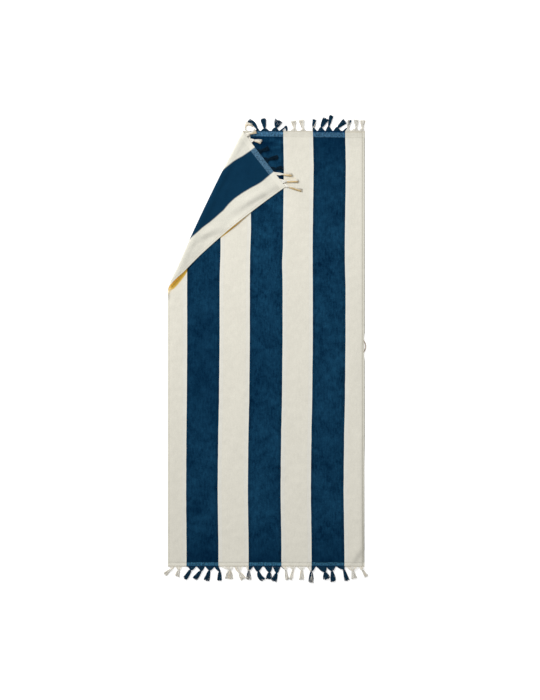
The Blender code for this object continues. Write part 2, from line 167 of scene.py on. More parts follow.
# Below the corner the stripes lie this much further right, further apart and wider on each side
LOW_SHIFT = 0.0007
LOW_SPACING = 0.0010
LOW_WIDENING = 0.0009
LEFT_STRIPE_HELD = 0.0014  # but the left stripe's own left edge stays about where it was
LOW_START = 0.380  # where that begins, and the length over which it comes to the full
LOW_RAMP = 0.160
BESIDE_CORNER = 0.0033  # how far the middle stripe's right edge is pushed out beside the corner
BESIDE_CORNER_START = 0.350
BESIDE_CORNER_RAMP = 0.080
STRIPE_EDGE_REACH = 0.022  # how wide the cloth is that goes with one edge of a stripe

# How light the navy pile lies: 0 deep and 1 pale, with soft patches of x, y, half width, half length,
# amount; the last patches are painted shadow and painted highlights
NAP = 0.49
END_NAP = -0.30
END_NAP_REACH = 0.105
TOP_NAP = -0.26
TOP_NAP_REACH = 0.120
FLAP_NAP = -0.02
NAP_AND_PAINTED_LIGHT_PATCHES = (
    (-0.256, -0.120, 0.090, 0.420, -0.19), (-0.256, -0.440, 0.090, 0.110, 0.05),
    (-0.256, -0.650, 0.090, 0.150, -0.07), (0.000, -0.070, 0.090, 0.090, -0.10),
    (0.000, 0.330, 0.100, 0.220, 0.05), (0.256, 0.120, 0.100, 0.200, 0.03),
    (0.256, -0.480, 0.100, 0.200, -0.05), (0.256, 0.700, 0.100, 0.150, -0.09),
    # Painted light from here on: a painted shadow in the gap between the corner's tassels, then painted
    # highlights on the ripples near the top end beside the turned-over corner, and painted shade between
    # them and beside the tassels there
    (0.068, 0.702, 0.012, 0.012, -1.20), (0.020, 0.852, 0.030, 0.005, 0.30),
    (0.055, 0.842, 0.022, 0.006, 0.28), (0.000, 0.836, 0.040, 0.008, -0.20),
    (0.035, 0.822, 0.040, 0.005, 0.18), (0.010, 0.806, 0.045, 0.008, -0.15),
)

# Where shade is painted into the cream cloth as a darker tone: towards the ends and the lower corners, along
# the left side, on the right edge's lower part, beside the fold's left end and along the crease at the
# bottom right corner: x, y, half width, half length, share
PAINTED_SHADE_PATCHES = (
    (-0.36, -0.80, 0.10, 0.50, -0.060), (0.36, -0.86, 0.06, 0.20, -0.050),
    (-0.10, -0.86, 0.30, 0.20, -0.020), (0.13, -0.90, 0.10, 0.16, -0.020),
    (0.10, 0.90, 0.60, 0.10, -0.065), (-0.36, -0.20, 0.05, 0.50, -0.020),
    (0.3988, -0.80, 0.0024, 0.14, -0.26), (-0.397, 0.216, 0.005, 0.014, -0.28),
    (0.386, -0.824, 0.006, 0.022, -0.10), (0.376, -0.846, 0.010, 0.014, -0.13),
    (0.360, -0.862, 0.012, 0.009, -0.10),
)
# Painted shade on the turned-over corner, darkening its cream near its right end
FLAP_PAINTED_SHADE_PATCHES = (  # on the corner, by where it lies
    (-0.006, 0.622, 0.016, 0.011, -0.13),
    (0.045, 0.652, 0.022, 0.014, -0.09),
    (-0.008, 0.689, 0.010, 0.006, -0.12),
)
# Painted light: the warm shade painted inside the fold, seen at its left end, is painted this much brighter
LINING_PAINTED_LIGHT = 0.60  # the inside of the fold, seen at its left end, is warmed by the cloth round it
# Painted shade, darkening the right edge's side that slopes out to the floor
RIGHT_EDGE_PAINTED_SHADE = -0.40  # the side that slopes out to the floor is in its own shade

# Beside the left end of the fold the corner's long edge stands up and back, and opens onto warm shade, which
# is painted into the cloth there and as a thin line along the rest of the edge
CURL_ALONG = 0.292
CURL_LENGTH = 0.040
CURL_REACH = 0.050
CURL_BACK = 0.0040
CURL_RISE = 0.006
FLAP_EDGE_POINTS = 220
SHADE_REACH = 0.040
SHADE = (  # (along the edge, how wide the shade is, how warm it is)
    (0.225, 0.008, 0.12), (0.236, 0.016, 0.45), (0.246, 0.021, 0.80),
    (0.256, 0.022, 0.92), (0.265, 0.023, 1.0), (0.286, 0.024, 1.0),
    (0.312, 0.0205, 1.0), (0.340, 0.0145, 1.0), (0.366, 0.0070, 1.0),
    (0.395, 0.0045, 0.5), (0.440, 0.0040, 0.1), (0.540, 0.0045, 0.3),
    (0.580, 0.0062, 1.0), (0.630, 0.0066, 1.0), (0.670, 0.0055, 0.6),
    (0.730, 0.0040, 0.2), (0.889, 0.0040, 0.1),
)

# How the cloth is coloured
STRIPE_EDGE = 0.020  # the colours beside a stripe's edge are drawn this far to each side of it
STRIPE_STRAY = 0.0014  # how far a stripe's edge strays slowly to both sides together
HEM_BLUR = 0.0006  # half the width over which a hem or a band begins
HEM_STITCHES = (0.0022, 0.0008)  # this far from a hem's line its stitches begin to show, and show in full
BAND_LINE = (0.0024, 0.0008)  # and so for the line beside a band
ROLLED_END = (0.0050, 0.0032)  # and from the cloth's end for its rolled edge
TOP_BAND_SLANT = 0.014  # the top band's line falls this much for each metre to the right
TOP_BAND_RISE = 0.0018  # and lies this much higher in its middle
WEAVE_TURNS = 4833.0  # radians of the flat weave's wave for each metre
COOL = (0.995, 1.01, 1.045)  # in red, green and blue
# Tones of the cream and of the navy on the way over a stripe's edge: 0 far in the cream, 0.5 at the edge
CREAM_BESIDE_NAVY = (
    (0.0, 1.0), (0.07, 1.0), (0.10, 0.965), (0.13, COOL), (0.38, COOL), (0.42, 1.09), (0.50, 1.11),
)
NAVY_BESIDE_CREAM = ((0.50, 1.5), (0.55, 1.25), (0.62, 0.72), (0.72, 0.85), (0.84, 1.0))

# The fringes
KNOT_LENGTH = 0.009
KNOT_HEIGHT = 0.0042
REST = 0.0004  # between a yarn or the loop and what it lies on
YARN_SPACING = 0.0014
YARN_TWIST = 0.0034  # length of a turn of its two plies
SCALLOP_START = -0.0012
SCALLOP_POINTS = 7
SCALLOP_CURVE = 0.68
SCALLOP_HEIGHT = 0.0013  # of its yarns where they leave the cloth
SCALLOP_ARCH = 0.0009
GATHERED = 0.0026  # half the width of the yarns at the knot
WRAP_RADIUS = 0.0031
WRAP_YARN = 1.05  # in mm
WRAP_TURNS = 1.5
WRAP_POINTS = 13
WRAP_STEP = 2.1  # radians round the knot from where one yarn starts to the next
WRAP_SPACING = 0.0021
WRAP_SLANT = 0.0016
WRAP_LEAN = 0.35
OVER_SLANT = 0.0052  # of the yarns drawn over the wound ones
OVER_SPACING = 0.0014
OVER_ARCH = 0.0026
OVER_REST = 0.0006
TAIL_POINTS = 9
LOCKS = 5
LOCK_DROP = 0.6
LOCK_RADIUS = 0.0026
LOCK_OPENING = 0.0015  # how much wider a lock is at its end
LOCK_TWIST = 1.6
TAIL_SPREAD = 1.1
STITCH_PITCH = 0.0034
STITCH_LEAN = 0.0016
STITCH = ((0.0, -0.0034, 0.0019), (0.4, -0.0012, 0.0026), (0.8, 0.0006, 0.0020), (1.0, 0.0010, 0.0009))

# Root place and width, then knot, tip, the tip's half spread and how far the tail bows to its right, in mm.
# Warm is how much warm shade is painted on its right side, or on its left side where it is below 0, and tone
# darkens all of it; the low tone of the corner's navy tassels is painted shade.
# Across is from the sheet's middle, and out is from the end of the cloth.
FIELDS = "root width knot_across knot_out tip_across tip_out spread bow warm tone"
Tassel = namedtuple("Tassel", FIELDS, defaults=(0, 0.0, 1.0))


def tassels(*rows):
    return [Tassel(*row) for row in rows]


END_TASSELS = tassels(
    (-386, 25, -386, 10, -414, 34, 5), (-356, 29, -356, 14, -363, 42, 6),
    (-303, 34, -308, 14, -331, 52, 6), (-267, 34, -266, 18, -293, 52, 6),
    (-229, 37, -231, 16, -243, 59, 7), (-204, 18, -189, 20, -189, 59, 5),
    (-160, 52, -148, 14, -152, 53, 12), (-112, 36, -110, 22, -91, 53, 7),
    (-67, 29, -71, 16, -71, 55, 6), (-32, 38, -31, 20, -11, 57, 7, -5),
    (9, 33, 14, 24, 11, 53, 8), (43, 31, 43, 27, 31, 61, 7),
    (75, 28, 80, 11, 86, 56, 4), (106, 31, 110, 11, 100, 55, 4),
    (143, 34, 146, 14, 144, 55, 7), (185, 35, 185, 20, 184, 67, 6),
    (226, 40, 241, 23, 249, 53, 10), (265, 38, 269, 18, 275, 63, 7),
    (302, 30, 317, 11, 331, 59, 5), (350, 46, 354, 16, 362, 51, 9),
    (388, 20, 393, 14, 412, 42, 5),
)
TOP_TASSELS = tassels(
    (-76, 10, -86, 9, -54, 24, 5, -15, 0.35), (-38, 22, -37, 9, -74, 43, 5, 6),
    (-4, 34, -6, 11, -11, 53, 7), (38, 32, 41, 14, 53, 46, 12),
    (60, 14, 71, 9, 88, 5, 4, -9), (112, 29, 116, 11, 111, 44, 7, 0, 0.0, 0.9),
    (151, 25, 151, 9, 145, 48, 7, 0, 0.0, 0.9), (197, 19, 193, 14, 200, 48, 5),
    (227, 29, 226, 15, 246, 53, 8), (257, 26, 256, 18, 268, 65, 4),
    (295, 40, 294, 14, 325, 42, 7), (328, 29, 335, 13, 342, 46, 5),
    (361, 33, 367, 11, 368, 48, 6, 0, 0.0, 0.88), (389, 20, 394, 11, 395, 46, 6, 0, 0.0, 0.88),
)
# On the corner, warm paints warm shade on the pale tassels' left sides, and the navy tassels that lie on the
# navy stripe are painted in shade by their tone
CORNER_TASSELS = tassels(
    (-390, 14, -406, 9, -453, 42, 3, 0, -0.8), (-368, 20, -382, 14, -411, 55, 3, 0, -0.8),
    (-328, 14, -348, 20, -376, 50, 3, 0, -0.7), (-303, 22, -314, 14, -327, 38, 5, 0, 0.0, 0.4),
    (-257, 30, -262, 14, -277, 49, 6, 0, 0.0, 0.4), (-211, 26, -215, 12, -223, 42, 5, 0, 0.0, 0.4),
    (-150, 22, -160, 14, -184, 34, 6, 0, -0.3), (-121, 14, -124, 14, -132, 44, 5, 0, -0.5),
)
# How far the locks fall short of the tip, in turn
LOCK_SHORTFALLS = (0.0, 0.002, 0.0005, 0.003, 0.001, 0.0015, 0.0035)

# The hanging loop
LOOP_Y = 0.0098
LOOP_CHORD = 0.049
LOOP_REACH = 0.0082
LOOP_BAND = 0.0036
LOOP_HEIGHT = 0.0040
LOOP_TUCK = 0.0006  # how far its ends reach into the hem
LOOP_ROUNDING = 0.00055
LOOP_STITCH_ROWS = ((0.00005, 0.0013), (0.00005, 0.0035), (-LOOP_BAND / 2, 0.00455))  # (out, height)
LOOP_STITCHES = 22  # in each row
LOOP_STITCH = 0.00075  # half a stitch's length
LOOP_THREAD = 0.00018  # half its thickness

# The picture: one pixel of its 540 by 700 at the cloth's height, and the point it is centred on
PIXEL = 0.0040816
PICTURE_HEIGHT = 700
PICTURE_CENTRE = (0.0163, -0.0051)
FILM = 0.036
KEY_PLACE = (-2.2, 2.7, 3.2)
KEY_SIZE = 1.2
FLOOR_HALF = 12.0
FLOOR_DEPTH = 0.0003  # how far the floor lies under the cloth


# ---------------------------------------------------------------- settings


def length_setting(name, description, default):
    return bpy.props.FloatProperty(name=name, description=description, default=default, unit="LENGTH")


def colour_setting(name, description, default):
    return bpy.props.FloatVectorProperty(
        name=name, description=description, default=default, subtype="COLOR", size=3, min=0, max=1
    )


def share_setting(name, description, default):
    return bpy.props.FloatProperty(
        name=name, description=description, default=default, subtype="FACTOR", min=0, max=1
    )


class ClothSettings(bpy.types.PropertyGroup):
    """The woven length."""

    grid: length_setting("Grid", "Spacing of the cloth's mesh where it lies flat", 0.0066)
    navy: colour_setting("Navy", "Dark stripes where the pile stands deep", (0.0001, 0.0108, 0.0340))
    pale_navy: colour_setting("Pale navy", "Dark stripes where the pile lies over", (0.0088, 0.0575, 0.1190))
    cream: colour_setting("Cream pile", "Cut pile of the pale stripes", (0.70, 0.68, 0.60))
    cream_loops: colour_setting("Cream loops", "Reverse of the pale stripes", (0.765, 0.75, 0.665))
    band: colour_setting("Top band", "Flat weave of the dark stripes at the top", (0.036, 0.101, 0.178))
    end_band: colour_setting("End band", "Flat weave of the dark stripes at the end", (0.023, 0.091, 0.158))
    reverse_band: colour_setting("Band's reverse", "Reverse of the flat weave", (0.060, 0.134, 0.212))
    # Painted shade: the warm colour painted deep in the fold and under the corner's edge
    shade: colour_setting("Warm shade", "Cream cloth seen deep in the fold", (0.57, 0.372, 0.062))
    sheen: share_setting("Sheen", "How much the pile brightens at a glance", 0.01)


class FringeSettings(bpy.types.PropertyGroup):
    """The knotted fringes."""

    yarn_radius: length_setting("Yarn radius", "Half the thickness of a fringe yarn", 0.00085)
    tail_yarns: bpy.props.IntProperty(
        name="Yarns in a tail", description="Yarns below each knot", default=44, min=10, max=60
    )
    wander: length_setting("Wander", "How far a yarn strays from its lock", 0.0011)
    navy: colour_setting("Navy yarn", "Yarns of the dark stripes", (0.0050, 0.034, 0.072))
    cream: colour_setting("Cream yarn", "Yarns of the pale stripes", (0.86, 0.85, 0.80))
    # Painted shade: the warm colour painted where pale yarns lie in shade
    amber: colour_setting("Amber shade", "Warm shade between pale yarns", (0.72, 0.52, 0.22))


class LoopSettings(bpy.types.PropertyGroup):
    """The hanging loop."""

    leather: colour_setting("Leather", "The loop's face", (0.27, 0.19, 0.13))
    edge: colour_setting("Cut edge", "The loop's paler cut edge", (0.36, 0.30, 0.23))
    thread: colour_setting("Thread", "Stitches along the loop", (0.52, 0.45, 0.34))


class StageSettings(bpy.types.PropertyGroup):
    """Floor, lights and camera."""

    floor: colour_setting("Floor", "Plain pale floor", (0.96, 0.96, 0.96))
    sky: bpy.props.FloatProperty(
        name="Sky", description="Brightness of the even light from all round", default=0.63, min=0
    )
    key: bpy.props.FloatProperty(
        name="Key light", description="Power of the lamp at the upper left, in watts", default=146, min=0
    )
    lens: bpy.props.FloatProperty(
        name="Lens", description="Focal length in millimetres", default=85, min=20, max=200
    )


# ---------------------------------------------------------------- where a point of the sheet lies


FOLD_LENGTH = float(np.linalg.norm(FOLD_AT_END - FOLD_AT_SIDE))
FOLD_ALONG = (FOLD_AT_END - FOLD_AT_SIDE) / FOLD_LENGTH
FOLD_OUTWARD = np.array((-FOLD_ALONG[1], FOLD_ALONG[0]))
FOLD_MIDDLE = (FOLD_AT_SIDE + FOLD_AT_END) / 2
FOLD_EDGE_BACK = np.array((-0.72, 0.69))  # square to the corner's long edge, towards the fold


def smooth(value):
    """0 up to 0, 1 from 1, and an even slope between."""
    value = np.clip(value, 0.0, 1.0)
    return value * value * (3 - 2 * value)


def hump(value, width):
    """1 at 0, dying away over about this width to each side."""
    return np.exp(-((value / width) ** 2))


def fold_place(across, along):
    """(how far past the fold line, how far along it from its middle)."""
    x, y = across - FOLD_MIDDLE[0], along - FOLD_MIDDLE[1]
    return x * FOLD_OUTWARD[0] + y * FOLD_OUTWARD[1], x * FOLD_ALONG[0] + y * FOLD_ALONG[1]


def fold_middleness(place):
    """1 at the fold's middle and 0 at its ends."""
    return 1 - np.minimum(np.abs(place) / (FOLD_LENGTH / 2), 1.0) ** 2


def roll_radius(place):
    end = np.where(place < 0, ROLL_RADIUS_AT_SIDE, ROLL_RADIUS_AT_END)
    return end + (ROLL_RADIUS_AT_MIDDLE - end) * fold_middleness(place)


def bend(past, radius):
    """(distance outward from the fold line, height, turn) of the cloth's middle surface."""
    over = np.arccos(1 - (2 * radius - LAID_HEIGHT) / (CREST_RADIUS + EASE_RADIUS))
    turn = np.clip(past / radius, 0.0, np.pi)
    rest = np.maximum(past - np.pi * radius, 0.0)
    crest = np.minimum(rest / CREST_RADIUS, over)
    rest = np.maximum(rest - CREST_RADIUS * over, 0.0)
    eased = np.minimum(rest / EASE_RADIUS, over)
    rest = np.maximum(rest - EASE_RADIUS * over, 0.0)
    back = CREST_RADIUS * np.sin(crest) + EASE_RADIUS * (np.sin(over) - np.sin(over - eased)) + rest
    down = CREST_RADIUS * (1 - np.cos(crest)) + EASE_RADIUS * (np.cos(over - eased) - np.cos(over))
    outward = np.minimum(past, 0.0) + radius * np.sin(turn) - back
    return outward, radius * (1 - np.cos(turn)) - down, turn + crest - eased


def crease_height(creases, x, y):
    total = np.zeros(np.shape(x))
    for crease in creases:
        heading = math.radians(crease.heading)
        east, north = x - crease.x, y - crease.y
        down = (east * math.cos(heading) + north * math.sin(heading)) / crease.length
        side = north * math.cos(heading) - east * math.sin(heading)
        side = side / np.where(side > 0, crease.back or crease.width, crease.width)
        total = total + crease.height * np.exp(-down * down - side * side)
    return total


def swell(x, y, pitch, count, seed):
    """A soft random surface from 0 to about 1, whose humps are about a pitch apart."""
    rng = np.random.default_rng(seed)
    total = np.zeros(np.shape(x))
    for _ in range(count):
        heading, phase = rng.uniform(0, 2 * np.pi, 2)
        turns = 2 * np.pi / (pitch * rng.uniform(0.7, 1.5))
        total = total + np.sin((x * math.cos(heading) + y * math.sin(heading)) * turns + phase)
    return 0.5 + total / (2.4 * math.sqrt(count))


def puckers(x, y):
    """The small waves that the knots draw into the cloth's ends."""
    wave = np.sin(2 * np.pi * x / PUCKER_PITCH + 2.2 * np.sin(9.0 * x) + np.where(y > 0, 0.6, 2.1))
    fade = 1 - smooth((HALF_LENGTH - np.abs(y)) / PUCKER_REACH)
    return PUCKER_HEIGHT * (0.5 + 0.5 * wave) * fade


def panel_relief(x, y):
    """How far the cloth that lies on the floor is lifted from it, dying away past the cloth's ends."""
    beyond = np.maximum(np.abs(y) - HALF_LENGTH, 0.0)
    inside = np.clip(y, -HALF_LENGTH, HALF_LENGTH)
    lifted = smooth((x - HALF_WIDTH + EDGE_LIFT_REACH) / EDGE_LIFT_REACH)
    lifted = lifted * (1 - smooth((x - HALF_WIDTH + EDGE_FALL) / EDGE_FALL))
    lifted = lifted * EDGE_LIFT * smooth((EDGE_LIFT_START - inside) / EDGE_LIFT_RAMP)
    lifted = lifted + crease_height(PANEL_CREASES, x, inside) + puckers(x, inside)
    for height, drawn_out, pitch, waves, seed in SWELLS:
        lifted = lifted + height * np.clip(swell(x, inside * drawn_out, pitch, waves, seed), 0, 2)
    return lifted * (1 - smooth(beyond / END_RELIEF_RAMP))


def flap_relief(across, along, past, x, y):
    """How far the flap is lifted from the panel under it, which at its free edges only a crease does."""
    inward = smooth((past - np.pi * ROLL_RADIUS_AT_MIDDLE) / FLAP_LIFT_RAMP)
    edge = np.minimum(across + HALF_WIDTH, np.maximum(HALF_LENGTH - along, 0.0))
    base = FLAP_LIFT * inward * smooth(edge / FLAP_EDGE_RAMP)
    creases = crease_height(FLAP_CREASES, x, y) + crease_height(FINE_FLAP_CREASES, x, y)
    return np.maximum(base + creases * inward, 0.0)


def cloth_points(across, along, height):
    """Where points of the flat sheet lie once the corner is turned over."""
    past, place = fold_place(across, along)
    middleness = fold_middleness(place)
    beyond = past - FOLD_BOW * middleness
    drawn = beyond - FOLD_SPARE * middleness * smooth(beyond / FOLD_SPARE_RAMP)
    outward, middle, turn = bend(drawn, roll_radius(place))
    offset = height - THICKNESS / 2
    outward = outward + FOLD_BOW * middleness - offset * np.sin(turn)
    x = across + FOLD_OUTWARD[0] * (outward - past)
    y = along + FOLD_OUTWARD[1] * (outward - past)
    z = THICKNESS / 2 + middle + offset * np.cos(turn) + panel_relief(x, y)
    z = z + np.where(past > 0, flap_relief(across, along, past, x, y), 0.0)
    curl = hump(along - CURL_ALONG, CURL_LENGTH) * (1 - smooth((across + HALF_WIDTH) / CURL_REACH))
    curl = curl * (past > 0)
    return np.stack((x, y, z), axis=-1) + np.multiply.outer(curl, (*(CURL_BACK * FOLD_EDGE_BACK), CURL_RISE))


def stripe_pull(across, along):
    """What is added to across so that the stripes wander as the real ones do."""
    left = np.clip((across + HALF_WIDTH) / LEFT_DRIFT_RAMP, 0, 1)
    right = np.clip((HALF_WIDTH - across) / RIGHT_DRIFT_RAMP, 0, 1)
    panel = np.interp(along, *np.transpose(PANEL_DRIFT)) * left * right
    panel = panel + patched(STRIPE_DRAGS, across, along)
    beside = (across + STRIPE_CENTRES / 2) % STRIPE_CENTRES - STRIPE_CENTRES / 2
    low = LOW_SHIFT + LOW_SPACING * across / STRIPE_CENTRES + LOW_WIDENING * beside / STRIPE_HALF
    low = low + LEFT_STRIPE_HELD * hump(across + STRIPE_CENTRES + STRIPE_HALF, STRIPE_EDGE_REACH)
    panel = panel + low * smooth((LOW_START - along) / LOW_RAMP)
    high = smooth((along - BESIDE_CORNER_START) / BESIDE_CORNER_RAMP)
    panel = panel + BESIDE_CORNER * high * hump(across - STRIPE_HALF, STRIPE_EDGE_REACH)
    wider = (across + STRIPE_CENTRES) / STRIPE_HALF * hump(along - FLAP_WIDE_AT, FLAP_WIDE_REACH)
    flap = np.interp(along, *np.transpose(FLAP_DRIFT)) + FLAP_WIDENING * np.clip(wider, -1, 1)
    share = smooth(fold_place(across, along)[0] / STRIPE_FOLD_BLEND + 0.5)
    return -(panel * (1 - share) + flap * share)


def is_navy(across, along):
    place = np.abs(across + stripe_pull(across, along))
    return np.minimum(place, np.abs(place - STRIPE_CENTRES)) < STRIPE_HALF


def patched(patches, across, along):
    """The sum of soft patches of x, y, half width, half length and amount."""
    total = np.zeros(np.shape(across))
    for x, y, width, length, amount in patches:
        total = total + amount * hump(across - x, width) * hump(along - y, length)
    return total


def nap(across, along, past):
    """How light the navy pile lies at each point, 0 deep and 1 pale, with painted shadow and painted
    highlights beside the turned-over corner.
    """
    total = NAP + np.where(past > 0, FLAP_NAP, patched(NAP_AND_PAINTED_LIGHT_PATCHES, across, along))
    total = total + END_NAP * hump(along + HALF_LENGTH, END_NAP_REACH)
    return total + TOP_NAP * hump(HALF_LENGTH - along, TOP_NAP_REACH) * (past <= 0)


# ---------------------------------------------------------------- materials


class Value:
    """What a node gives. The signs +, - and * add the nodes that combine two numbers."""

    def __init__(self, made, socket):
        self.made, self.socket = made, socket

    def __add__(self, other):
        return self.made.math("ADD", self, other)

    def __mul__(self, other):
        return self.made.math("MULTIPLY", self, other)

    def __sub__(self, other):
        return self.made.math("SUBTRACT", self, other)

    def __rsub__(self, other):
        return self.made.math("SUBTRACT", other, self)

    def __abs__(self):
        return self.made.math("ABSOLUTE", self)

    def between(self, low, high, start=0.0, end=1.0, steps="SMOOTHSTEP"):
        """start up to low, end from high, and a slope between."""
        inputs = {"Value": self, "From Min": low, "From Max": high, "To Min": start, "To Max": end}
        return self.made.add("MapRange", inputs, interpolation_type=steps)

    def ramp(self, stops):
        """The colours of (place, colour) stops, blended between them."""
        node = self.made.node("ValToRGB", {0: self})
        elements = node.color_ramp.elements
        while len(elements) < len(stops):
            elements.new(0.5)
        for element, (place, colour) in zip(elements, stops):
            element.position = place
            element.color = (*colour, 1.0)
        return Value(self.made, node.outputs[0])


class Finish:
    """A material, and short ways to add nodes to it."""

    def __init__(self, name, **constants):
        self.material = bpy.data.materials.new(name)
        self.material.use_nodes = True
        self.tree = self.material.node_tree
        self.shader = self.tree.nodes["Principled BSDF"]
        for key, value in constants.items():
            self.put(self.shader.inputs[key.replace("_", " ")], value)

    def put(self, socket, value):
        if isinstance(value, Value):
            self.tree.links.new(value.socket, socket)
        elif socket.type == "RGBA" and len(value) == 3:
            socket.default_value = (*value, 1.0)
        else:
            socket.default_value = value

    def node(self, kind, inputs=(), **settings):
        made = self.tree.nodes.new("ShaderNode" + kind)
        for key, value in settings.items():
            setattr(made, key, value)
        for key, value in dict(inputs).items():
            self.put(made.inputs[key], value)
        return made

    def add(self, kind, inputs=(), output=0, **settings):
        return Value(self, self.node(kind, inputs, **settings).outputs[output])

    def math(self, operation, *values):
        return self.add("Math", enumerate(values), operation=operation)

    def parts(self, vector):
        return [Value(self, output) for output in self.node("SeparateXYZ", {0: vector}).outputs]

    def scaled(self, vector, *factors):
        return self.add("VectorMath", {0: vector, 1: (*factors, 0.0)}, operation="MULTIPLY")

    def noise(self, vector, scale, detail=3.0, roughness=0.5):
        inputs = {"Vector": vector, "Scale": scale, "Detail": detail, "Roughness": roughness}
        return self.add("TexNoise", inputs, "Fac")

    def mix(self, share, first, second, blend="MIX"):
        return self.add("Mix", {0: share, 6: first, 7: second}, 2, data_type="RGBA", blend_type=blend)

    def tinted(self, colour, tint, share=1.0):
        """The colour with a share of the tint, which is another colour or a tone, multiplied into it."""
        return self.mix(share, colour, tint, "MULTIPLY")

    def attribute(self, name, output="Fac"):
        return self.add("Attribute", output=output, attribute_name=name)

    def bump(self, height, distance, strength, **normal):
        return self.add("Bump", {"Height": height, "Distance": distance, "Strength": strength, **normal})

    def finish(self, colour, roughness, normal):
        for name, value in (("Base Color", colour), ("Roughness", roughness), ("Normal", normal)):
            self.put(self.shader.inputs[name], value)
        return self.material


def toned(colour, tone):
    """The colour times a tone, or times one for each of red, green and blue."""
    return tuple(np.minimum(np.multiply(colour, tone), 1.0))


def terry(name, cloth):
    """(the finish of one side of the cloth, the place on the flat sheet)."""
    shine = {"Sheen_Weight": cloth.sheen, "Sheen_Roughness": 0.6, "Specular_IOR_Level": 0.0}
    made = Finish(name, Roughness=0.95, **shine)
    return made, made.add("UVMap", uv_map="sheet")


def stripe_places(made, place, fuzz):
    """(across, along, side): side is 0 in the cream, 0.5 at a stripe's edge and 1 in the navy."""
    across, along, _ = made.parts(place)
    stray = (made.noise(place, 420.0, 2.0) - 0.5) * fuzz
    stray = stray + (made.noise(place, 26.0, 1.0) - 0.5) * STRIPE_STRAY
    middle = abs(across + made.attribute("stripe_pull") + stray)
    inside = STRIPE_HALF - made.math("MINIMUM", middle, abs(middle - STRIPE_CENTRES))
    return across, along, inside.between(-STRIPE_EDGE, STRIPE_EDGE, steps="LINEAR")


def hems_and_bands(made, across, along):
    """Shares of a band, of a side hem, of the side hem's stitches and of the line beside a band."""
    top_line, end_line, hem_line = HALF_LENGTH - TOP_BAND, END_BAND - HALF_LENGTH, HALF_WIDTH - SIDE_HEM
    reach = abs(across)
    top = along.between(top_line - HEM_BLUR, top_line + HEM_BLUR)
    end = along.between(end_line + HEM_BLUR, end_line - HEM_BLUR)
    hem = reach.between(hem_line - HEM_BLUR, hem_line + HEM_BLUR)
    stitch = abs(reach - hem_line).between(*HEM_STITCHES)
    line = made.math("MINIMUM", abs(along - top_line), abs(along - end_line)).between(*BAND_LINE)
    return made.math("MAXIMUM", top, end), hem, stitch, line


def relief(made, place, band, hem, pile, weave_share):
    """The cloth's fine height: its pile, and a plain weave in the bands and hems, 1.3 mm to a thread."""
    warp, weft, _ = made.parts(made.scaled(place, WEAVE_TURNS, WEAVE_TURNS))
    weave = made.math("SINE", warp) * made.math("SINE", weft) * 0.5 + 0.5
    return made.mix(made.math("MAXIMUM", band, hem), pile, weave * weave_share)


def pile_tones(made, place, streak_scale, mottle):
    """(share of pale pile, brightness of the cream, streaks along the sheet, grain)."""
    streaks = made.noise(made.scaled(place, *streak_scale), 1.0, 2.0)
    grain = made.noise(place, 300.0, 1.0)
    wander = 0.0
    # The tone attribute holds the shade and light painted into the cloth, and the noises below add random
    # tone
    bright = made.attribute("tone") + 1.0
    for noise, nap_share, tone_share in (
        (made.noise(place, 10.0, 2.0), 1.0, 0.06),
        (made.noise(place, 34.0, 4.0, 0.62), 1.1, 0.12),
        (streaks, 0.9, 0.10),
        (made.noise(place, 110.0, 2.0), 0.45, 0.07),
        (grain, 0.9, 0.20),
    ):
        wander = (noise - 0.5) * nap_share + wander
        bright = (noise - 0.5) * tone_share + bright
    return (wander * (2.0 * mottle) + 1.0) * made.attribute("nap"), bright, streaks, grain


def dyed(made, cloth, dark, pale, bright, cream, navy_tone):
    """Cream and navy cloth: cream is a colour, and navy lies between its deep and its pale tone."""
    navy = made.mix(pale.between(0.0, 1.0, steps="LINEAR"), cloth.navy, cloth.pale_navy)
    return made.mix(dark, made.tinted(cream, bright), made.tinted(navy, navy_tone))


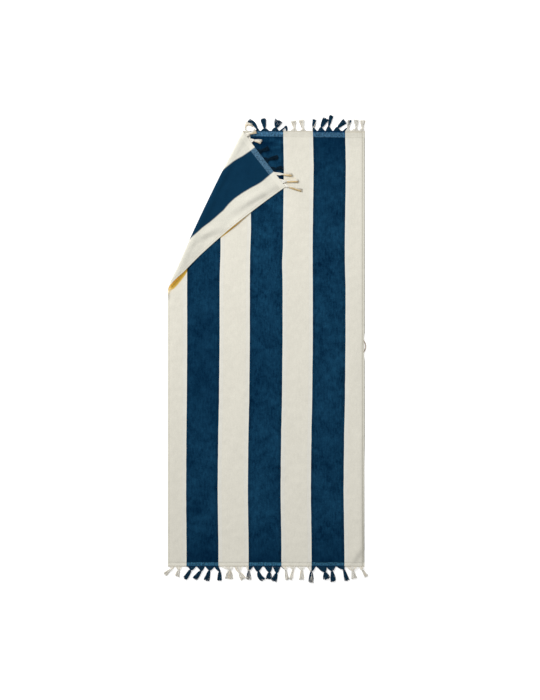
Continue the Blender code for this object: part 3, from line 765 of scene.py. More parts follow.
def pile_finish(cloth):
    """The front: cut pile, with flat-woven bands and side hems."""
    made, place = terry("cut_pile", cloth)
    across, along, side = stripe_places(made, place, 0.0014)
    at_top = along.between(-0.1, 0.1)
    woven_along = along + at_top * (across * TOP_BAND_SLANT - TOP_BAND_RISE)
    band, hem, stitch, line = hems_and_bands(made, across, woven_along)
    dark = side.between(0.488, 0.512)
    pale, bright, streaks, grain = pile_tones(made, place, (150.0, 40.0), 1.0)
    beside = [(stop, toned(cloth.cream, tone)) for stop, tone in CREAM_BESIDE_NAVY]
    edging = side.ramp([(stop, (tone / 2,) * 3) for stop, tone in NAVY_BESIDE_CREAM]) * 2.0
    colour = dyed(made, cloth, dark, pale, bright, side.ramp(beside), edging)

    threads = made.noise(made.scaled(place, 150.0, 120.0), 1.0, 3.0, 0.7)
    woven = threads.between(0.3, 0.7, 0.2, 1.95, "LINEAR") * across.between(0.04, 0.2, 1.12, 0.93)
    flat_navy = made.tinted(made.mix(at_top, cloth.end_band, cloth.band), woven)
    woven = threads.between(0.3, 0.7, 0.95, 1.05, "LINEAR") * (at_top * -0.15 + 1.07)
    colour = made.mix(band, colour, made.mix(dark, made.tinted(cloth.cream, woven), flat_navy))
    colour = made.tinted(colour, (0.985, 0.985, 0.97), hem)
    colour = made.tinted(colour, (0.62, 0.60, 0.55), stitch * across.between(-0.1, 0.1, 0.08, 0.60))
    colour = made.tinted(colour, (0.35, 0.34, 0.32), line * dark.between(0.0, 1.0, 0.12, 0.35))
    rolled = abs(woven_along).between(*(HALF_LENGTH - inward for inward in ROLLED_END))
    edge = made.mix(dark, toned(cloth.cream, (0.84, 0.82, 0.78)), toned(cloth.navy, 2.2))
    colour = made.mix(rolled, colour, edge)

    # Painted warm shade under the corner's edge and inside the fold: brightest nearest the edge and where
    # painted light is written, and a darker navy on the navy stripes
    gap = made.attribute("flap_gap")
    lit = gap.between(0.0, 0.8, 1.5, 1.0) * (made.attribute("tone") + 1.0)
    warm = made.mix(dark, made.tinted(cloth.shade, lit), toned(cloth.navy, 0.55))
    colour = made.mix(gap.between(1.05, 0.75) * made.attribute("warmth"), colour, warm)
    pile = made.noise(place, 900.0, 3.0, 0.7) * 0.5 + streaks * 0.5
    height = relief(made, place, band, hem, pile, 0.35)
    return made.finish(colour, grain.between(0.3, 0.7, 0.86, 1.0), made.bump(height, 0.0011, 0.8))


def loop_finish(cloth):
    """The reverse: uncut loops in rows along the selvedge, with the same bands and hems."""
    made, place = terry("terry_loops", cloth)
    across, along, side = stripe_places(made, place, 0.0030)
    band, hem, stitch, line = hems_and_bands(made, across, along - REVERSE_BAND_SHORT)
    dark = side.between(0.42, 0.58)
    loops = {"Vector": made.scaled(place, 560.0, 330.0), "Scale": 1.0, "Randomness": 0.8}
    rounded = made.add("TexVoronoi", loops, "Distance").between(0.75, 0.1)
    shaded = rounded.between(0.0, 1.0, 0.92, 1.03)
    pale, bright, _, grain = pile_tones(made, place, (260.0, 90.0), 0.22)
    colour = dyed(made, cloth, dark, pale, bright * shaded, cloth.cream_loops, shaded)

    threads = made.noise(made.scaled(place, 170.0, 130.0), 1.0, 3.0, 0.7)
    flat_navy = made.tinted(cloth.reverse_band, threads.between(0.3, 0.7, 0.35, 1.7, "LINEAR"))
    flat_cream = made.tinted(cloth.cream_loops, threads.between(0.3, 0.7, 0.95, 1.03, "LINEAR"))
    colour = made.mix(band, colour, made.mix(dark, flat_cream, flat_navy))
    colour = made.tinted(colour, (0.66, 0.62, 0.55), stitch * 0.30 + line * 0.05)
    normal = made.bump(relief(made, place, band, hem, rounded, 0.3), 0.0012, 0.7)
    normal = made.bump(grain, 0.0012, 0.5, Normal=normal)
    return made.finish(colour, grain.between(0.3, 0.7, 0.86, 1.0), normal)


def yarn_finish(fringe):
    """Two-ply yarn: strand holds a yarn's dye, tone and painted amber shade, and ring where a point is on
    it.
    """
    made = Finish(
        "fringe_yarn", Sheen_Weight=0.02, Sheen_Roughness=0.5, Specular_IOR_Level=0.04, Roughness=0.9
    )
    dye, tone, amber = made.parts(made.attribute("strand", "Vector"))
    side, top, run = made.parts(made.attribute("ring", "Vector"))
    phase = run * (2 * math.pi / YARN_TWIST)
    ply = side * made.math("SINE", phase) + top * made.math("COSINE", phase)
    fibres = made.noise(made.add("TexCoord", output="Object"), 1500.0, 2.0, 0.6)
    # Painted shade in the grooves between the plies, and random tone in the fibres
    tone = tone * ply.between(-1.0, 0.2, 0.90, 1.0) * fibres.between(0.3, 0.7, 0.88, 1.12)
    colour = made.mix(dye, made.mix(amber, fringe.cream, fringe.amber), fringe.navy)
    normal = made.bump(ply * 0.4 + fibres * 0.6, 0.0004, 0.8)
    return made.finish(made.tinted(colour, tone), fibres.between(0.3, 0.7, 0.8, 1.0), normal)


def leather_finish(name, colour, pores):
    made = Finish(name, Specular_IOR_Level=0.35, Roughness=0.6)
    place = made.add("TexCoord", output="Object")
    cells = made.add("TexVoronoi", {"Vector": place, "Scale": pores}, "Distance", feature="DISTANCE_TO_EDGE")
    grain = cells.between(0.0, 0.25)
    cloud = made.noise(place, 160.0, 3.0, 0.6)
    worn = cloud.ramp(((0.3, toned(colour, 0.72)), (0.55, colour), (0.75, toned(colour, 1.35))))
    shown = made.mix(grain * -0.3 + 0.3, worn, toned(colour, 0.55))
    return made.finish(shown, cloud.between(0.3, 0.7, 0.5, 0.75), made.bump(grain, 0.0003, 0.5))


def plain_finish(name, colour, noise, tones, roughness, bump, **constants):
    """One colour, whose tone, roughness and height all vary a little with one noise."""
    made = Finish(name, **constants)
    cloud = made.noise(made.add("TexCoord", output="Object"), *noise)
    shown = cloud.ramp([(0.3, toned(colour, tones[0])), (0.7, toned(colour, tones[1]))])
    return made.finish(shown, cloud.between(0.3, 0.7, *roughness), made.bump(cloud, *bump))


def thread_finish(colour):
    noise, tones, roughness, bump = (3000.0, 2.0, 0.6), (0.7, 1.1), (0.6, 0.85), (0.0002, 0.5)
    shine = {"Specular_IOR_Level": 0.3, "Roughness": 0.7}
    return plain_finish("loop_thread", colour, noise, tones, roughness, bump, **shine)


def floor_finish(colour):
    noise, tones, roughness, bump = (1.5, 2.0, 0.5), (0.995, 1.0), (0.88, 0.95), (0.0001, 0.05)
    shine = {"Specular_IOR_Level": 0.05, "Roughness": 0.9}
    glow = {"Emission_Color": colour, "Emission_Strength": 0.32}
    return plain_finish("studio_floor", colour, noise, tones, roughness, bump, **shine, **glow)


# ---------------------------------------------------------------- meshes and objects


def as_mesh(name, form):
    mesh = bpy.data.meshes.new(name)
    form.to_mesh(mesh)
    form.free()
    return mesh


def read(items, key, kind, size=1):
    """What each of a mesh's items keeps under this key."""
    values = np.empty(len(items) * size, kind)
    items.foreach_get(key, values)
    return values


def linked(name, data):
    piece = bpy.data.objects.new(name, data)
    bpy.context.scene.collection.objects.link(piece)
    return piece


def show(name, mesh, slot, *nodes):
    """Adds a piece to the scene, riding on the part's one body and standing for these solids."""
    piece = linked(name, mesh)
    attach(piece, "root")
    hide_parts(*nodes)
    return piece


# ---------------------------------------------------------------- the cloth


def ruled(stops, step):
    """The stops, with each stretch between two of them divided evenly into steps no longer than this."""
    lines = [stops[0]]
    for start, stop in zip(stops, stops[1:]):
        count = max(math.ceil((stop - start) / step - 1e-6), 1)
        lines += [start + (stop - start) * i / count for i in range(1, count + 1)]
    return lines


def mirrored(stops):
    return sorted({*stops, *(-stop for stop in stops)})


def flat_sheet(step):
    """The sheet as two flat layers joined by a rim, where z holds the level: 0 reverse, 1 front."""
    hem = HALF_WIDTH - SIDE_HEM
    stripes = (STRIPE_HALF, STRIPE_CENTRES - STRIPE_HALF, STRIPE_CENTRES + STRIPE_HALF)
    hem_lines = (hem - STEP, hem - HEM_GROOVE_WIDTH / 2, hem, hem + HEM_GROOVE_WIDTH)
    columns = ruled(mirrored((*stripes, *hem_lines, HALF_WIDTH - RIM_SPACING, HALF_WIDTH)), step)
    top, end = HALF_LENGTH - TOP_BAND, END_BAND - HALF_LENGTH
    rows = [-HALF_LENGTH, -HALF_LENGTH + RIM_SPACING, end - STEP, end, end + STEP]
    rows = ruled(rows + [top - STEP, top, top + STEP, HALF_LENGTH - RIM_SPACING, HALF_LENGTH], step)
    sheet = bmesh.new()
    bmesh.ops.create_grid(sheet, x_segments=len(columns) - 1, y_segments=len(rows) - 1, size=1)
    for vert in sheet.verts:
        column = round((vert.co.x + 1) / 2 * (len(columns) - 1))
        row = round((vert.co.y + 1) / 2 * (len(rows) - 1))
        vert.co = (columns[column], rows[row], 0.0)
    for cut in range(ROLL_CUTS):
        start = FOLD_AT_SIDE + FOLD_OUTWARD * ROLL_CUT * cut
        near = [f for f in sheet.faces if near_fold(f, ROLL_CUT * cut, step)]
        around = {part for f in near for part in (*f.verts, *f.edges)}
        across_fold = {"plane_co": (*start, 0.0), "plane_no": (*FOLD_OUTWARD, 0.0)}
        bmesh.ops.bisect_plane(sheet, geom=[*near, *around], dist=1e-5, **across_fold)
    made = bmesh.ops.extrude_face_region(sheet, geom=sheet.faces[:])["geom"]
    for part in made:
        if isinstance(part, bmesh.types.BMVert):
            part.co.z = 1.0
    rim = [e for e in sheet.edges if abs(e.verts[0].co.z - e.verts[1].co.z) > 0.5]
    bmesh.ops.subdivide_edges(sheet, edges=rim, cuts=1, use_grid_fill=True)
    bmesh.ops.recalc_face_normals(sheet, faces=sheet.faces[:])
    return sheet


def near_fold(face, past, step):
    middle = face.calc_center_median()
    return abs(fold_place(middle.x, middle.y)[0] - past) < 1.5 * step


def cloth_heights(across, along, level):
    """Height above the reverse side of points on a level of the flat sheet."""
    reach = np.abs(across)
    hem = smooth((reach - HALF_WIDTH + SIDE_HEM) / STEP)
    band = smooth((along - HALF_LENGTH + TOP_BAND) / STEP)
    band = band + smooth((-along - HALF_LENGTH + END_BAND) / STEP)
    drop = np.maximum(SIDE_HEM_DROP * hem, BAND_DROP * band)
    groove = hump(reach - HALF_WIDTH + SIDE_HEM, HEM_GROOVE_WIDTH) * np.where(across > 0, 1.0, LEFT_GROOVE)
    return level * (THICKNESS - drop - HEM_GROOVE * groove)


def write_values(mesh, **named):
    """Writes what the materials read at each point: numbers, or vectors of three."""
    for name, values in named.items():
        kind, key = ("FLOAT", "value") if np.ndim(values) == 1 else ("FLOAT_VECTOR", "vector")
        layer = mesh.attributes.new(name, kind, "POINT")
        layer.data.foreach_set(key, np.ascontiguousarray(values, np.float32).ravel())


def flap_edge_gap(points, covered):
    """How far points are from the edge of the turned-over corner, seen from above, and how far down it."""
    along = np.linspace(FOLD_AT_SIDE[1], HALF_LENGTH, FLAP_EDGE_POINTS)
    edge = cloth_points(np.full(len(along), -HALF_WIDTH), along, np.zeros(len(along)))[:, :2]
    gap = np.full(len(points), 0.1)  # far enough to be out of the shade
    place = np.zeros(len(points))
    low, high = edge.min(0) - SHADE_REACH, edge.max(0) + SHADE_REACH
    inside = np.all((points[:, :2] > low) & (points[:, :2] < high), axis=1) & ~covered
    chosen = points[inside, :2]
    start, step = edge[:-1], np.diff(edge, axis=0)
    arm = chosen[:, None] - start
    share = np.clip((arm * step).sum(2) / (step * step).sum(1), 0, 1)
    off = arm - share[:, :, None] * step
    far = np.linalg.norm(off, axis=2)
    nearest = far.argmin(1)
    rows = np.arange(len(chosen))
    turn = step[nearest, 0] * arm[rows, nearest, 1] - step[nearest, 1] * arm[rows, nearest, 0]
    under = (turn > 0) & (nearest + share[rows, nearest] > 0)
    gap[inside] = np.where(under, -1, 1) * far[rows, nearest]
    place[inside] = along[nearest] + share[rows, nearest] * (along[1] - along[0])
    return gap, place


def edge_places(across, along, level):
    """(across, along) with the rim's middle bulged out and the right edge turned under."""
    outward = (np.abs(level - 0.5) < 0.1) * RIM_BULGE
    beside_loop = np.exp(-(((along - LOOP_Y) / LOOP_CHORD) ** 6))
    turned = RIGHT_EDGE_TURN * (1 - level**2) * (1 - beside_loop)
    lost = smooth((RIGHT_EDGE_LOSS_START - along) / RIGHT_EDGE_LOSS_RAMP)
    turned = turned * (1 - RIGHT_EDGE_TURN_LOST * lost)
    turned = np.where(across > 0, np.maximum(turned, outward), outward)
    wide = across + np.where(np.abs(across) > HALF_WIDTH - NEAR, np.sign(across) * turned, 0)
    return wide, along + np.where(np.abs(along) > HALF_LENGTH - NEAR, np.sign(along) * outward, 0)


def write_looks(mesh, across, along, level, points):
    """The stripes, the nap, and the painted light and shade at each point of the cloth, with the painted
    warm shade by the corner's edge.
    """
    past = fold_place(across, along)[0]
    gap, place = flap_edge_gap(points, (past > 0) | (level < 0.9))
    # The inside of the fold is painted all through in the warm shade
    lining = (past > 0) & (level > 0.9)
    gap, place = np.where(lining, 0.0, gap), np.where(lining, along, place)
    edge, width, warmth = np.transpose(SHADE)
    # Tone holds painted light and shade: on the corner the lining's painted light and the corner's painted
    # shade, elsewhere the cream's painted shade
    flap_painted_light_and_shade = LINING_PAINTED_LIGHT * lining + patched(FLAP_PAINTED_SHADE_PATCHES, *points[:, :2].T)
    tone = np.where(past > 0, flap_painted_light_and_shade, patched(PAINTED_SHADE_PATCHES, across, along))
    # The right edge's sloping side is darkened with painted shade
    sloping = (across > HALF_WIDTH - NEAR) & (level < 0.75)
    write_values(
        mesh,
        stripe_pull=stripe_pull(across, along),
        flap_gap=gap / np.interp(place, edge, width),
        warmth=np.interp(place, edge, warmth) * (place > 0),
        nap=nap(across, along, past),
        tone=tone + RIGHT_EDGE_PAINTED_SHADE * sloping,
    )


def build_cloth(settings):
    mesh = as_mesh("towel", flat_sheet(settings.grid))
    across, along, level = read(mesh.vertices, "co", np.float32, 3).reshape(-1, 3).astype(float).T
    corners = read(mesh.loops, "vertex_index", np.int32)
    uv = mesh.uv_layers.new(name="sheet")
    uv.uv.foreach_set("vector", np.stack((across, along), -1)[corners].astype(np.float32).ravel())
    points = cloth_points(*edge_places(across, along, level), cloth_heights(across, along, level))
    mesh.vertices.foreach_set("co", points.astype(np.float32).ravel())
    write_looks(mesh, across, along, level, points)
    starts = np.concatenate(([0], np.cumsum(read(mesh.polygons, "loop_total", np.int32))[:-1]))
    highest = np.maximum.reduceat(level[corners], starts)
    mesh.polygons.foreach_set("material_index", (highest < 0.25).astype(np.int32))
    mesh.polygons.foreach_set("use_smooth", np.ones(len(mesh.polygons), bool))
    mesh.materials.append(pile_finish(settings))
    mesh.materials.append(loop_finish(settings))
    mesh.update()
    return show("towel", mesh, "terry", "towel_cloth")


# ---------------------------------------------------------------- the fringes


def out_of_bottom(across, out, height):
    return cloth_points(across, -HALF_LENGTH - out, height)


def out_of_top(across, out, height):
    z = height + panel_relief(across, HALF_LENGTH + out)
    return np.stack((across, HALF_LENGTH + out, z), axis=-1)


def out_of_corner(across, out, height):
    """The turned-over end, whose front side lies down."""
    return cloth_points(across, HALF_LENGTH + out, THICKNESS - height)


# A yarn's points in (across, out, height), its radius at each in mm, and its dye, tone and share of painted
# amber shade
Yarn = namedtuple("Yarn", "points radii dye tone amber")


def blended(start, end, share):
    """Points from start to end, one for each share."""
    return np.outer(1 - share, start) + np.outer(share, end)


class Bundle:
    """One tassel's places and directions, in (across, out) and metres, and what its yarns are drawn from."""

    def __init__(self, tassel, navy_at, rng):
        self.navy_at, self.rng = navy_at, rng
        self.half, self.spread, self.bow = tassel.width / 2000, tassel.spread / 1000, tassel.bow / 1000
        self.warm, self.tone = tassel.warm, tassel.tone
        self.root = np.array((tassel.root / 1000, SCALLOP_START))
        self.knot = np.array((tassel.knot_across, tassel.knot_out)) / 1000
        self.tip = np.array((tassel.tip_across, tassel.tip_out)) / 1000
        self.heading = (self.tip - self.knot) / np.linalg.norm(self.tip - self.knot)
        self.entry = (self.knot - self.root) / np.linalg.norm(self.knot - self.root)
        self.sideways = np.array((self.heading[1], -self.heading[0]))

    def yarn(self, line, radius, warm):
        """A yarn that takes its dye from somewhere along the tassel's root."""
        dye = self.navy_at(self.root[0] + self.rng.uniform(-1, 1) * self.half)
        tone = self.rng.uniform(0.8, 1.12) * self.tone
        # A share of painted warm shade, about this much
        amber = np.clip(self.rng.normal(warm, 0.16), 0, 0.8)
        return Yarn(line, np.full(len(line), radius), dye, tone, amber)


def scallop_yarns(bundle, radius):
    """The yarns that leave the hem side by side and draw together at the knot."""
    rng = bundle.rng
    count = max(round(2 * bundle.half / YARN_SPACING), 6)
    share = np.linspace(0, 1, SCALLOP_POINTS)
    centre = blended(bundle.root, bundle.knot - bundle.entry * KNOT_LENGTH * 0.15, share)
    side = blended((1.0, 0.0), bundle.sideways, share)
    half = bundle.half * (1 - share) ** SCALLOP_CURVE
    arch = np.sin(np.pi * share)
    rise = SCALLOP_HEIGHT + (KNOT_HEIGHT - SCALLOP_HEIGHT) * smooth(share) + SCALLOP_ARCH * arch
    yarns = []
    for place in np.linspace(-1, 1, count):
        aside = place * (half + GATHERED * share) + rng.normal(0, 0.00025, SCALLOP_POINTS)
        height = rise + rng.normal(0, 0.00035) * arch
        dye = bundle.navy_at(bundle.root[0] + place * bundle.half)
        tone = rng.uniform(0.82, 1.12) * bundle.tone
        amber = np.clip(rng.normal(0.05, 0.14), 0, 0.7)
        radii = np.full(SCALLOP_POINTS, radius * rng.uniform(0.85, 1.1))
        points = np.column_stack((centre + side * aside[:, None], height))
        yarns.append(Yarn(points, radii, dye, tone, amber))
    return yarns


def knot_yarns(bundle):
    """Three yarns wound round the bundle, and two drawn slantwise over them."""
    yarns = []
    middle = np.array((*bundle.knot, KNOT_HEIGHT))
    directions = np.array(((*bundle.heading, 0.0), (*bundle.sideways, 0.0), (0.0, 0.0, 1.0)))
    turned = np.linspace(0, 2 * np.pi * WRAP_TURNS, WRAP_POINTS)
    begin = bundle.rng.uniform(0, 2 * np.pi)
    lean = bundle.rng.choice((-1, 1)) * WRAP_LEAN
    for turn in range(3):
        angle = begin + turn * WRAP_STEP + turned
        forward = (turn - 1) * WRAP_SPACING + WRAP_SLANT * (turned / turned[-1] - 0.5)
        side, rise = WRAP_RADIUS * np.cos(angle), WRAP_RADIUS * np.sin(angle)
        line = middle + np.column_stack((forward + lean * side, side, rise)) @ directions
        yarns.append(bundle.yarn(line, WRAP_YARN, 0.10))
    share = np.linspace(0, 1, 6)
    for over in (-0.3, 0.5):
        forward = (share - 0.5) * KNOT_LENGTH * 0.85
        side = np.sign(lean) * (share - 0.5) * OVER_SLANT + over * OVER_SPACING
        rise = OVER_ARCH * np.sin(np.pi * share) + OVER_REST
        line = middle + np.column_stack((forward, side, rise)) @ directions
        yarns.append(bundle.yarn(line, WRAP_YARN * 0.9, 0.05))
    return yarns


def tail_yarns(bundle, order, fringe):
    """Yarns in five locks, from inside the knot to uneven ends that lie on what is under them."""
    rng = bundle.rng
    share = np.linspace(0, 1, TAIL_POINTS)
    radius = fringe.yarn_radius
    yarns = []
    for number in range(fringe.tail_yarns):
        lock = number * LOCKS // fringe.tail_yarns
        lean = 2 * lock / (LOCKS - 1) - 1
        short = LOCK_SHORTFALLS[(order * 3 + lock) % len(LOCK_SHORTFALLS)] + abs(rng.normal(0, 0.0014))
        aside = lean * bundle.spread * TAIL_SPREAD
        end = bundle.tip + bundle.sideways * aside - bundle.heading * short
        angle = rng.uniform(0, 2 * np.pi) + rng.choice((-1, 1)) * LOCK_TWIST * share
        thick = np.sqrt(rng.uniform(0.05, 1)) * (LOCK_RADIUS + LOCK_OPENING * share)
        wave = fringe.wander * share * np.sin(np.pi * (rng.uniform(0.8, 2.0) * share + rng.uniform(0, 2)))
        side = aside * (share**0.45 - share) + thick * np.cos(angle) + wave
        line = blended(bundle.knot, end, share)
        line = line + np.outer(side + 4 * bundle.bow * share * (1 - share), bundle.sideways)
        lie = REST + radius + 0.0011 + thick * (0.45 + 0.55 * np.sin(angle)) * 0.9
        height = KNOT_HEIGHT + 0.0012 * np.sin(angle) + (lie - KNOT_HEIGHT) * smooth(share / LOCK_DROP)
        height = np.maximum(height, REST + radius)
        radii = np.full(TAIL_POINTS, 1000 * radius * rng.uniform(0.85, 1.15))
        radii[-1] *= 0.75
        dyed = bundle.yarn(line, 1.0, 0.05)
        # Painted warm shade, more of it towards one side of the tail
        amber = dyed.amber + abs(bundle.warm) * smooth(0.5 + lean * np.sign(bundle.warm))
        yarns.append(dyed._replace(points=np.column_stack((line, height)), radii=radii, amber=amber))
    return yarns


def hem_stitches(strip, navy_at, rng):
    """Short slanting yarns whipped over the cloth's end between the tassels' roots."""
    yarns = []
    for across in np.arange(strip[0] + 0.002, strip[1] - 0.002, STITCH_PITCH):
        lean = STITCH_LEAN + rng.normal(0, 0.0002)
        points = np.array([(across + lean * share, out, height) for share, out, height in STITCH])
        tone = rng.uniform(0.7, 0.95)
        yarns.append(Yarn(points, np.full(4, 0.55), navy_at(across), tone, rng.uniform(0, 0.15)))
    return yarns


def yarn_mesh(name, yarns, place):
    """All the yarns as one mesh of four-sided tubes with closed ends."""
    curve = bpy.data.curves.new(name, "CURVE")
    curve.dimensions = "3D"
    curve.bevel_depth = 0.001
    curve.bevel_resolution = 0
    curve.use_fill_caps = True
    runs = []
    for yarn in yarns:
        points = place(*yarn.points.T)
        spline = curve.splines.new("POLY")
        spline.points.add(len(points) - 1)
        spline.points.foreach_set("co", np.column_stack((points, np.ones(len(points)))).ravel())
        spline.points.foreach_set("radius", yarn.radii)
        steps = np.linalg.norm(np.diff(points, axis=0), axis=1)
        runs.append(np.concatenate(([0.0], np.cumsum(steps))))
    holder = linked(name + "_path", curve)
    graph = bpy.context.evaluated_depsgraph_get()
    mesh = bpy.data.meshes.new_from_object(holder.evaluated_get(graph))
    bpy.data.objects.remove(holder)
    bpy.data.curves.remove(curve)
    mesh.name = name
    counts = [len(yarn.points) for yarn in yarns]
    rings = sum(counts)
    caps = len(mesh.vertices) - 4 * rings
    if caps != 8 * len(yarns):
        raise RuntimeError(f"{name}: {len(mesh.vertices)} points for {rings} rings and {len(yarns)} yarns")
    colours = np.array([(yarn.dye, yarn.tone, yarn.amber) for yarn in yarns])
    colours = np.repeat(colours, np.array(counts) * 4, axis=0)
    round_ring = np.tile(((1, 0), (0, 1), (-1, 0), (0, -1)), (rings, 1))
    places = np.column_stack((round_ring, np.repeat(np.concatenate(runs), 4)))
    none = np.zeros((caps, 3))
    write_values(mesh, strand=np.vstack((none, colours)), ring=np.vstack((none, places)))
    mesh.polygons.foreach_set("use_smooth", np.ones(len(mesh.polygons), bool))
    weld_caps(mesh, caps)
    return mesh


def weld_caps(mesh, caps):
    """Joins the caps, whose points come before the tubes' own, to the tubes' ends."""
    form = bmesh.new()
    form.from_mesh(mesh)
    form.verts.ensure_lookup_table()
    ends = {tuple(vert.co): vert for vert in form.verts[caps:]}
    bmesh.ops.weld_verts(form, targetmap={vert: ends[tuple(vert.co)] for vert in form.verts[:caps]})
    form.to_mesh(mesh)
    form.free()


# Piece, solid, tassels, the strip of the cloth's end that they hang from, how they lie, which end, seed
FRINGES = (
    ("bottom_tassels", "fringe_bottom", END_TASSELS, (-HALF_WIDTH, HALF_WIDTH), out_of_bottom, -1, 11),
    ("top_tassels", "fringe_top", TOP_TASSELS, (-0.082, HALF_WIDTH), out_of_top, 1, 12),
    ("corner_tassels", "fringe_corner", CORNER_TASSELS, (-HALF_WIDTH, -0.112), out_of_corner, 1, 13),
)


def build_fringe(fringe, finish, name, node, rows, strip, place, end, seed):
    rng = np.random.default_rng(seed)

    def navy_at(across):
        return float(is_navy(across, end * HALF_LENGTH))

    yarns = hem_stitches(strip, navy_at, rng)
    for order, tassel in enumerate(rows):
        bundle = Bundle(tassel, navy_at, rng)
        yarns += scallop_yarns(bundle, 1000 * fringe.yarn_radius)
        yarns += knot_yarns(bundle)
        yarns += tail_yarns(bundle, order, fringe)
    mesh = yarn_mesh(name, yarns, place)
    mesh.materials.clear()
    mesh.materials.append(finish)
    return show(name, mesh, "yarn", node)


# ---------------------------------------------------------------- the hanging loop


def build_loop(settings):
    """A flat leather band bowed out from the hem, with rounded edges and rows of stitches."""
    radius = (LOOP_CHORD**2 / 4 + LOOP_REACH**2) / (2 * LOOP_REACH)
    centre = HALF_WIDTH + LOOP_REACH - radius
    half = math.acos((HALF_WIDTH - LOOP_TUCK - centre) / radius)
    band = bmesh.new()
    bmesh.ops.create_grid(band, x_segments=1, y_segments=3, size=1)
    for vert in band.verts:
        x = radius - LOOP_BAND / 2 + vert.co.x * LOOP_BAND / 2
        z = REST + LOOP_HEIGHT / 2 + vert.co.y * LOOP_HEIGHT / 2
        vert.co = (centre + x * math.cos(-half), LOOP_Y + x * math.sin(-half), z)
    whole = [*band.verts, *band.edges, *band.faces]
    about = {"cent": (centre, LOOP_Y, 0.0), "axis": (0.0, 0.0, 1.0)}
    bmesh.ops.spin(band, geom=whole, angle=2 * half, steps=36, use_merge=False, use_duplicate=False, **about)
    bmesh.ops.remove_doubles(band, verts=band.verts[:], dist=1e-6)
    sharp = [e for e in band.edges if e.is_manifold and e.calc_face_angle(0.0) > 0.9]
    rounding = {"offset": LOOP_ROUNDING, "segments": 3, "profile": 0.5, "affect": "EDGES", "material": -1}
    bmesh.ops.bevel(band, geom=sharp, **rounding)
    bmesh.ops.recalc_face_normals(band, faces=band.faces[:])
    for face in band.faces:
        face.smooth = True
        face.material_index = 1 if abs(face.normal.z) > 0.8 else 0
    add_loop_stitches(band, radius, centre, half)
    mesh = as_mesh("hanging_loop", band)
    mesh.materials.append(leather_finish("loop_leather", settings.leather, 1400.0))
    mesh.materials.append(leather_finish("loop_cut_edge", settings.edge, 2600.0))
    mesh.materials.append(thread_finish(settings.thread))
    return show("hanging_loop", mesh, "loop", "hang_loop")


def add_loop_stitches(band, radius, centre, half):
    """Two rows of short stitches round the outer face, and one along the top edge."""
    for row, (out, height) in enumerate(LOOP_STITCH_ROWS):
        for number in range(LOOP_STITCHES):
            angle = half * (2 * (number + 0.5) / LOOP_STITCHES - 1) * 0.97
            made = bmesh.ops.create_uvsphere(band, u_segments=6, v_segments=4, radius=1.0)["verts"]
            for vert in made:
                along, deep, high = vert.co.x * LOOP_STITCH, vert.co.y * LOOP_THREAD, vert.co.z * LOOP_THREAD
                reach = radius + out + (deep if row < 2 else high)
                turn = angle + along / radius
                rise = REST + height + (high if row < 2 else deep) - REST * (row < 2)
                vert.co = (centre + reach * math.cos(turn), LOOP_Y + reach * math.sin(turn), rise)
            for face in {face for vert in made for face in vert.link_faces}:
                face.material_index = 2
                face.smooth = True


# ---------------------------------------------------------------- floor, lights and camera


def build_stage(settings):
    floor = bmesh.new()
    bmesh.ops.create_grid(floor, x_segments=8, y_segments=8, size=FLOOR_HALF)
    for vert in floor.verts:
        vert.co.z = -FLOOR_DEPTH
    mesh = as_mesh("studio_floor", floor)
    mesh.materials.append(floor_finish(settings.floor))
    linked("studio_floor", mesh)

    world = bpy.context.scene.world or bpy.data.worlds.new("studio")
    bpy.context.scene.world = world
    world.use_nodes = True
    sky = world.node_tree.nodes["Background"]
    sky.inputs["Color"].default_value = (1.0, 1.0, 1.0, 1.0)
    sky.inputs["Strength"].default_value = settings.sky

    lamp = bpy.data.lights.new("key", "AREA")
    lamp.energy = settings.key
    lamp.size = KEY_SIZE
    lamp.color = (1.0, 0.985, 0.96)
    key = linked("key", lamp)
    key.location = KEY_PLACE
    key.rotation_euler = (-key.location).to_track_quat("-Z", "Y").to_euler()  # towards the cloth's middle

    lens = bpy.data.cameras.new("camera")
    lens.lens = settings.lens
    lens.sensor_width = FILM * 1000
    distance = PICTURE_HEIGHT * PIXEL * settings.lens / (FILM * 1000)
    camera = linked("camera", lens)
    camera.location = (*PICTURE_CENTRE, distance + THICKNESS)
    bpy.context.scene.camera = camera
    bpy.context.scene.view_settings.view_transform = "Standard"


# ---------------------------------------------------------------- operators and panel


class BATHSHEET_OT_cloth(bpy.types.Operator):
    """Weave the striped cloth and turn its corner over"""

    bl_idname = "bathsheet.cloth"
    bl_label = "Cloth"

    def execute(self, context):
        build_cloth(context.scene.bath_sheet_cloth)
        return {"FINISHED"}


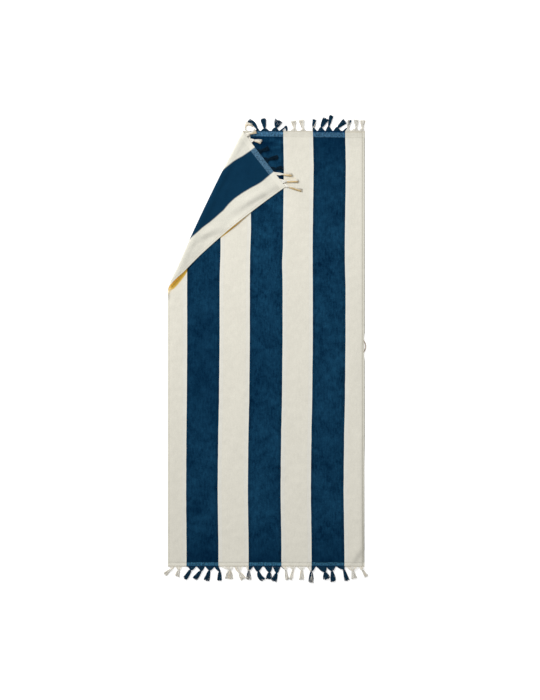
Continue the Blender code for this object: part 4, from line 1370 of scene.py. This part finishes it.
class BATHSHEET_OT_fringes(bpy.types.Operator):
    """Knot the fringes along the cloth's ends"""

    bl_idname = "bathsheet.fringes"
    bl_label = "Fringes"

    def execute(self, context):
        fringe = context.scene.bath_sheet_fringes
        finish = yarn_finish(fringe)
        for row in FRINGES:
            build_fringe(fringe, finish, *row)
        return {"FINISHED"}


class BATHSHEET_OT_loop(bpy.types.Operator):
    """Sew the hanging loop to the right edge"""

    bl_idname = "bathsheet.loop"
    bl_label = "Hanging loop"

    def execute(self, context):
        build_loop(context.scene.bath_sheet_loop)
        return {"FINISHED"}


class BATHSHEET_OT_stage(bpy.types.Operator):
    """Lay the floor and set the lights and the camera"""

    bl_idname = "bathsheet.stage"
    bl_label = "Stage"

    def execute(self, context):
        build_stage(context.scene.bath_sheet_stage)
        return {"FINISHED"}


class BATHSHEET_PT_panel(bpy.types.Panel):
    """The bath sheet's pieces and their settings"""

    bl_idname = "BATHSHEET_PT_panel"
    bl_label = "Bath sheet"
    bl_space_type = "VIEW_3D"
    bl_region_type = "UI"
    bl_category = "Bath sheet"

    def draw(self, context):
        for name, (group, operator) in PIECES.items():
            box = self.layout.box()
            settings = getattr(context.scene, name)
            for key in group.__annotations__:
                box.prop(settings, key)
            box.operator(operator.bl_idname)


PIECES = {
    "bath_sheet_cloth": (ClothSettings, BATHSHEET_OT_cloth),
    "bath_sheet_fringes": (FringeSettings, BATHSHEET_OT_fringes),
    "bath_sheet_loop": (LoopSettings, BATHSHEET_OT_loop),
    "bath_sheet_stage": (StageSettings, BATHSHEET_OT_stage),
}


def register():
    for name, (group, operator) in PIECES.items():
        bpy.utils.register_class(group)
        bpy.utils.register_class(operator)
        setattr(bpy.types.Scene, name, bpy.props.PointerProperty(type=group))
    bpy.utils.register_class(BATHSHEET_PT_panel)


def unregister():
    bpy.utils.unregister_class(BATHSHEET_PT_panel)
    for name, (group, operator) in reversed(PIECES.items()):
        delattr(bpy.types.Scene, name)
        bpy.utils.unregister_class(operator)
        bpy.utils.unregister_class(group)


def main():
    register()
    bpy.ops.bathsheet.cloth()
    bpy.ops.bathsheet.fringes()
    bpy.ops.bathsheet.loop()
    bpy.ops.bathsheet.stage()


if __name__ == "__main__":
    main()
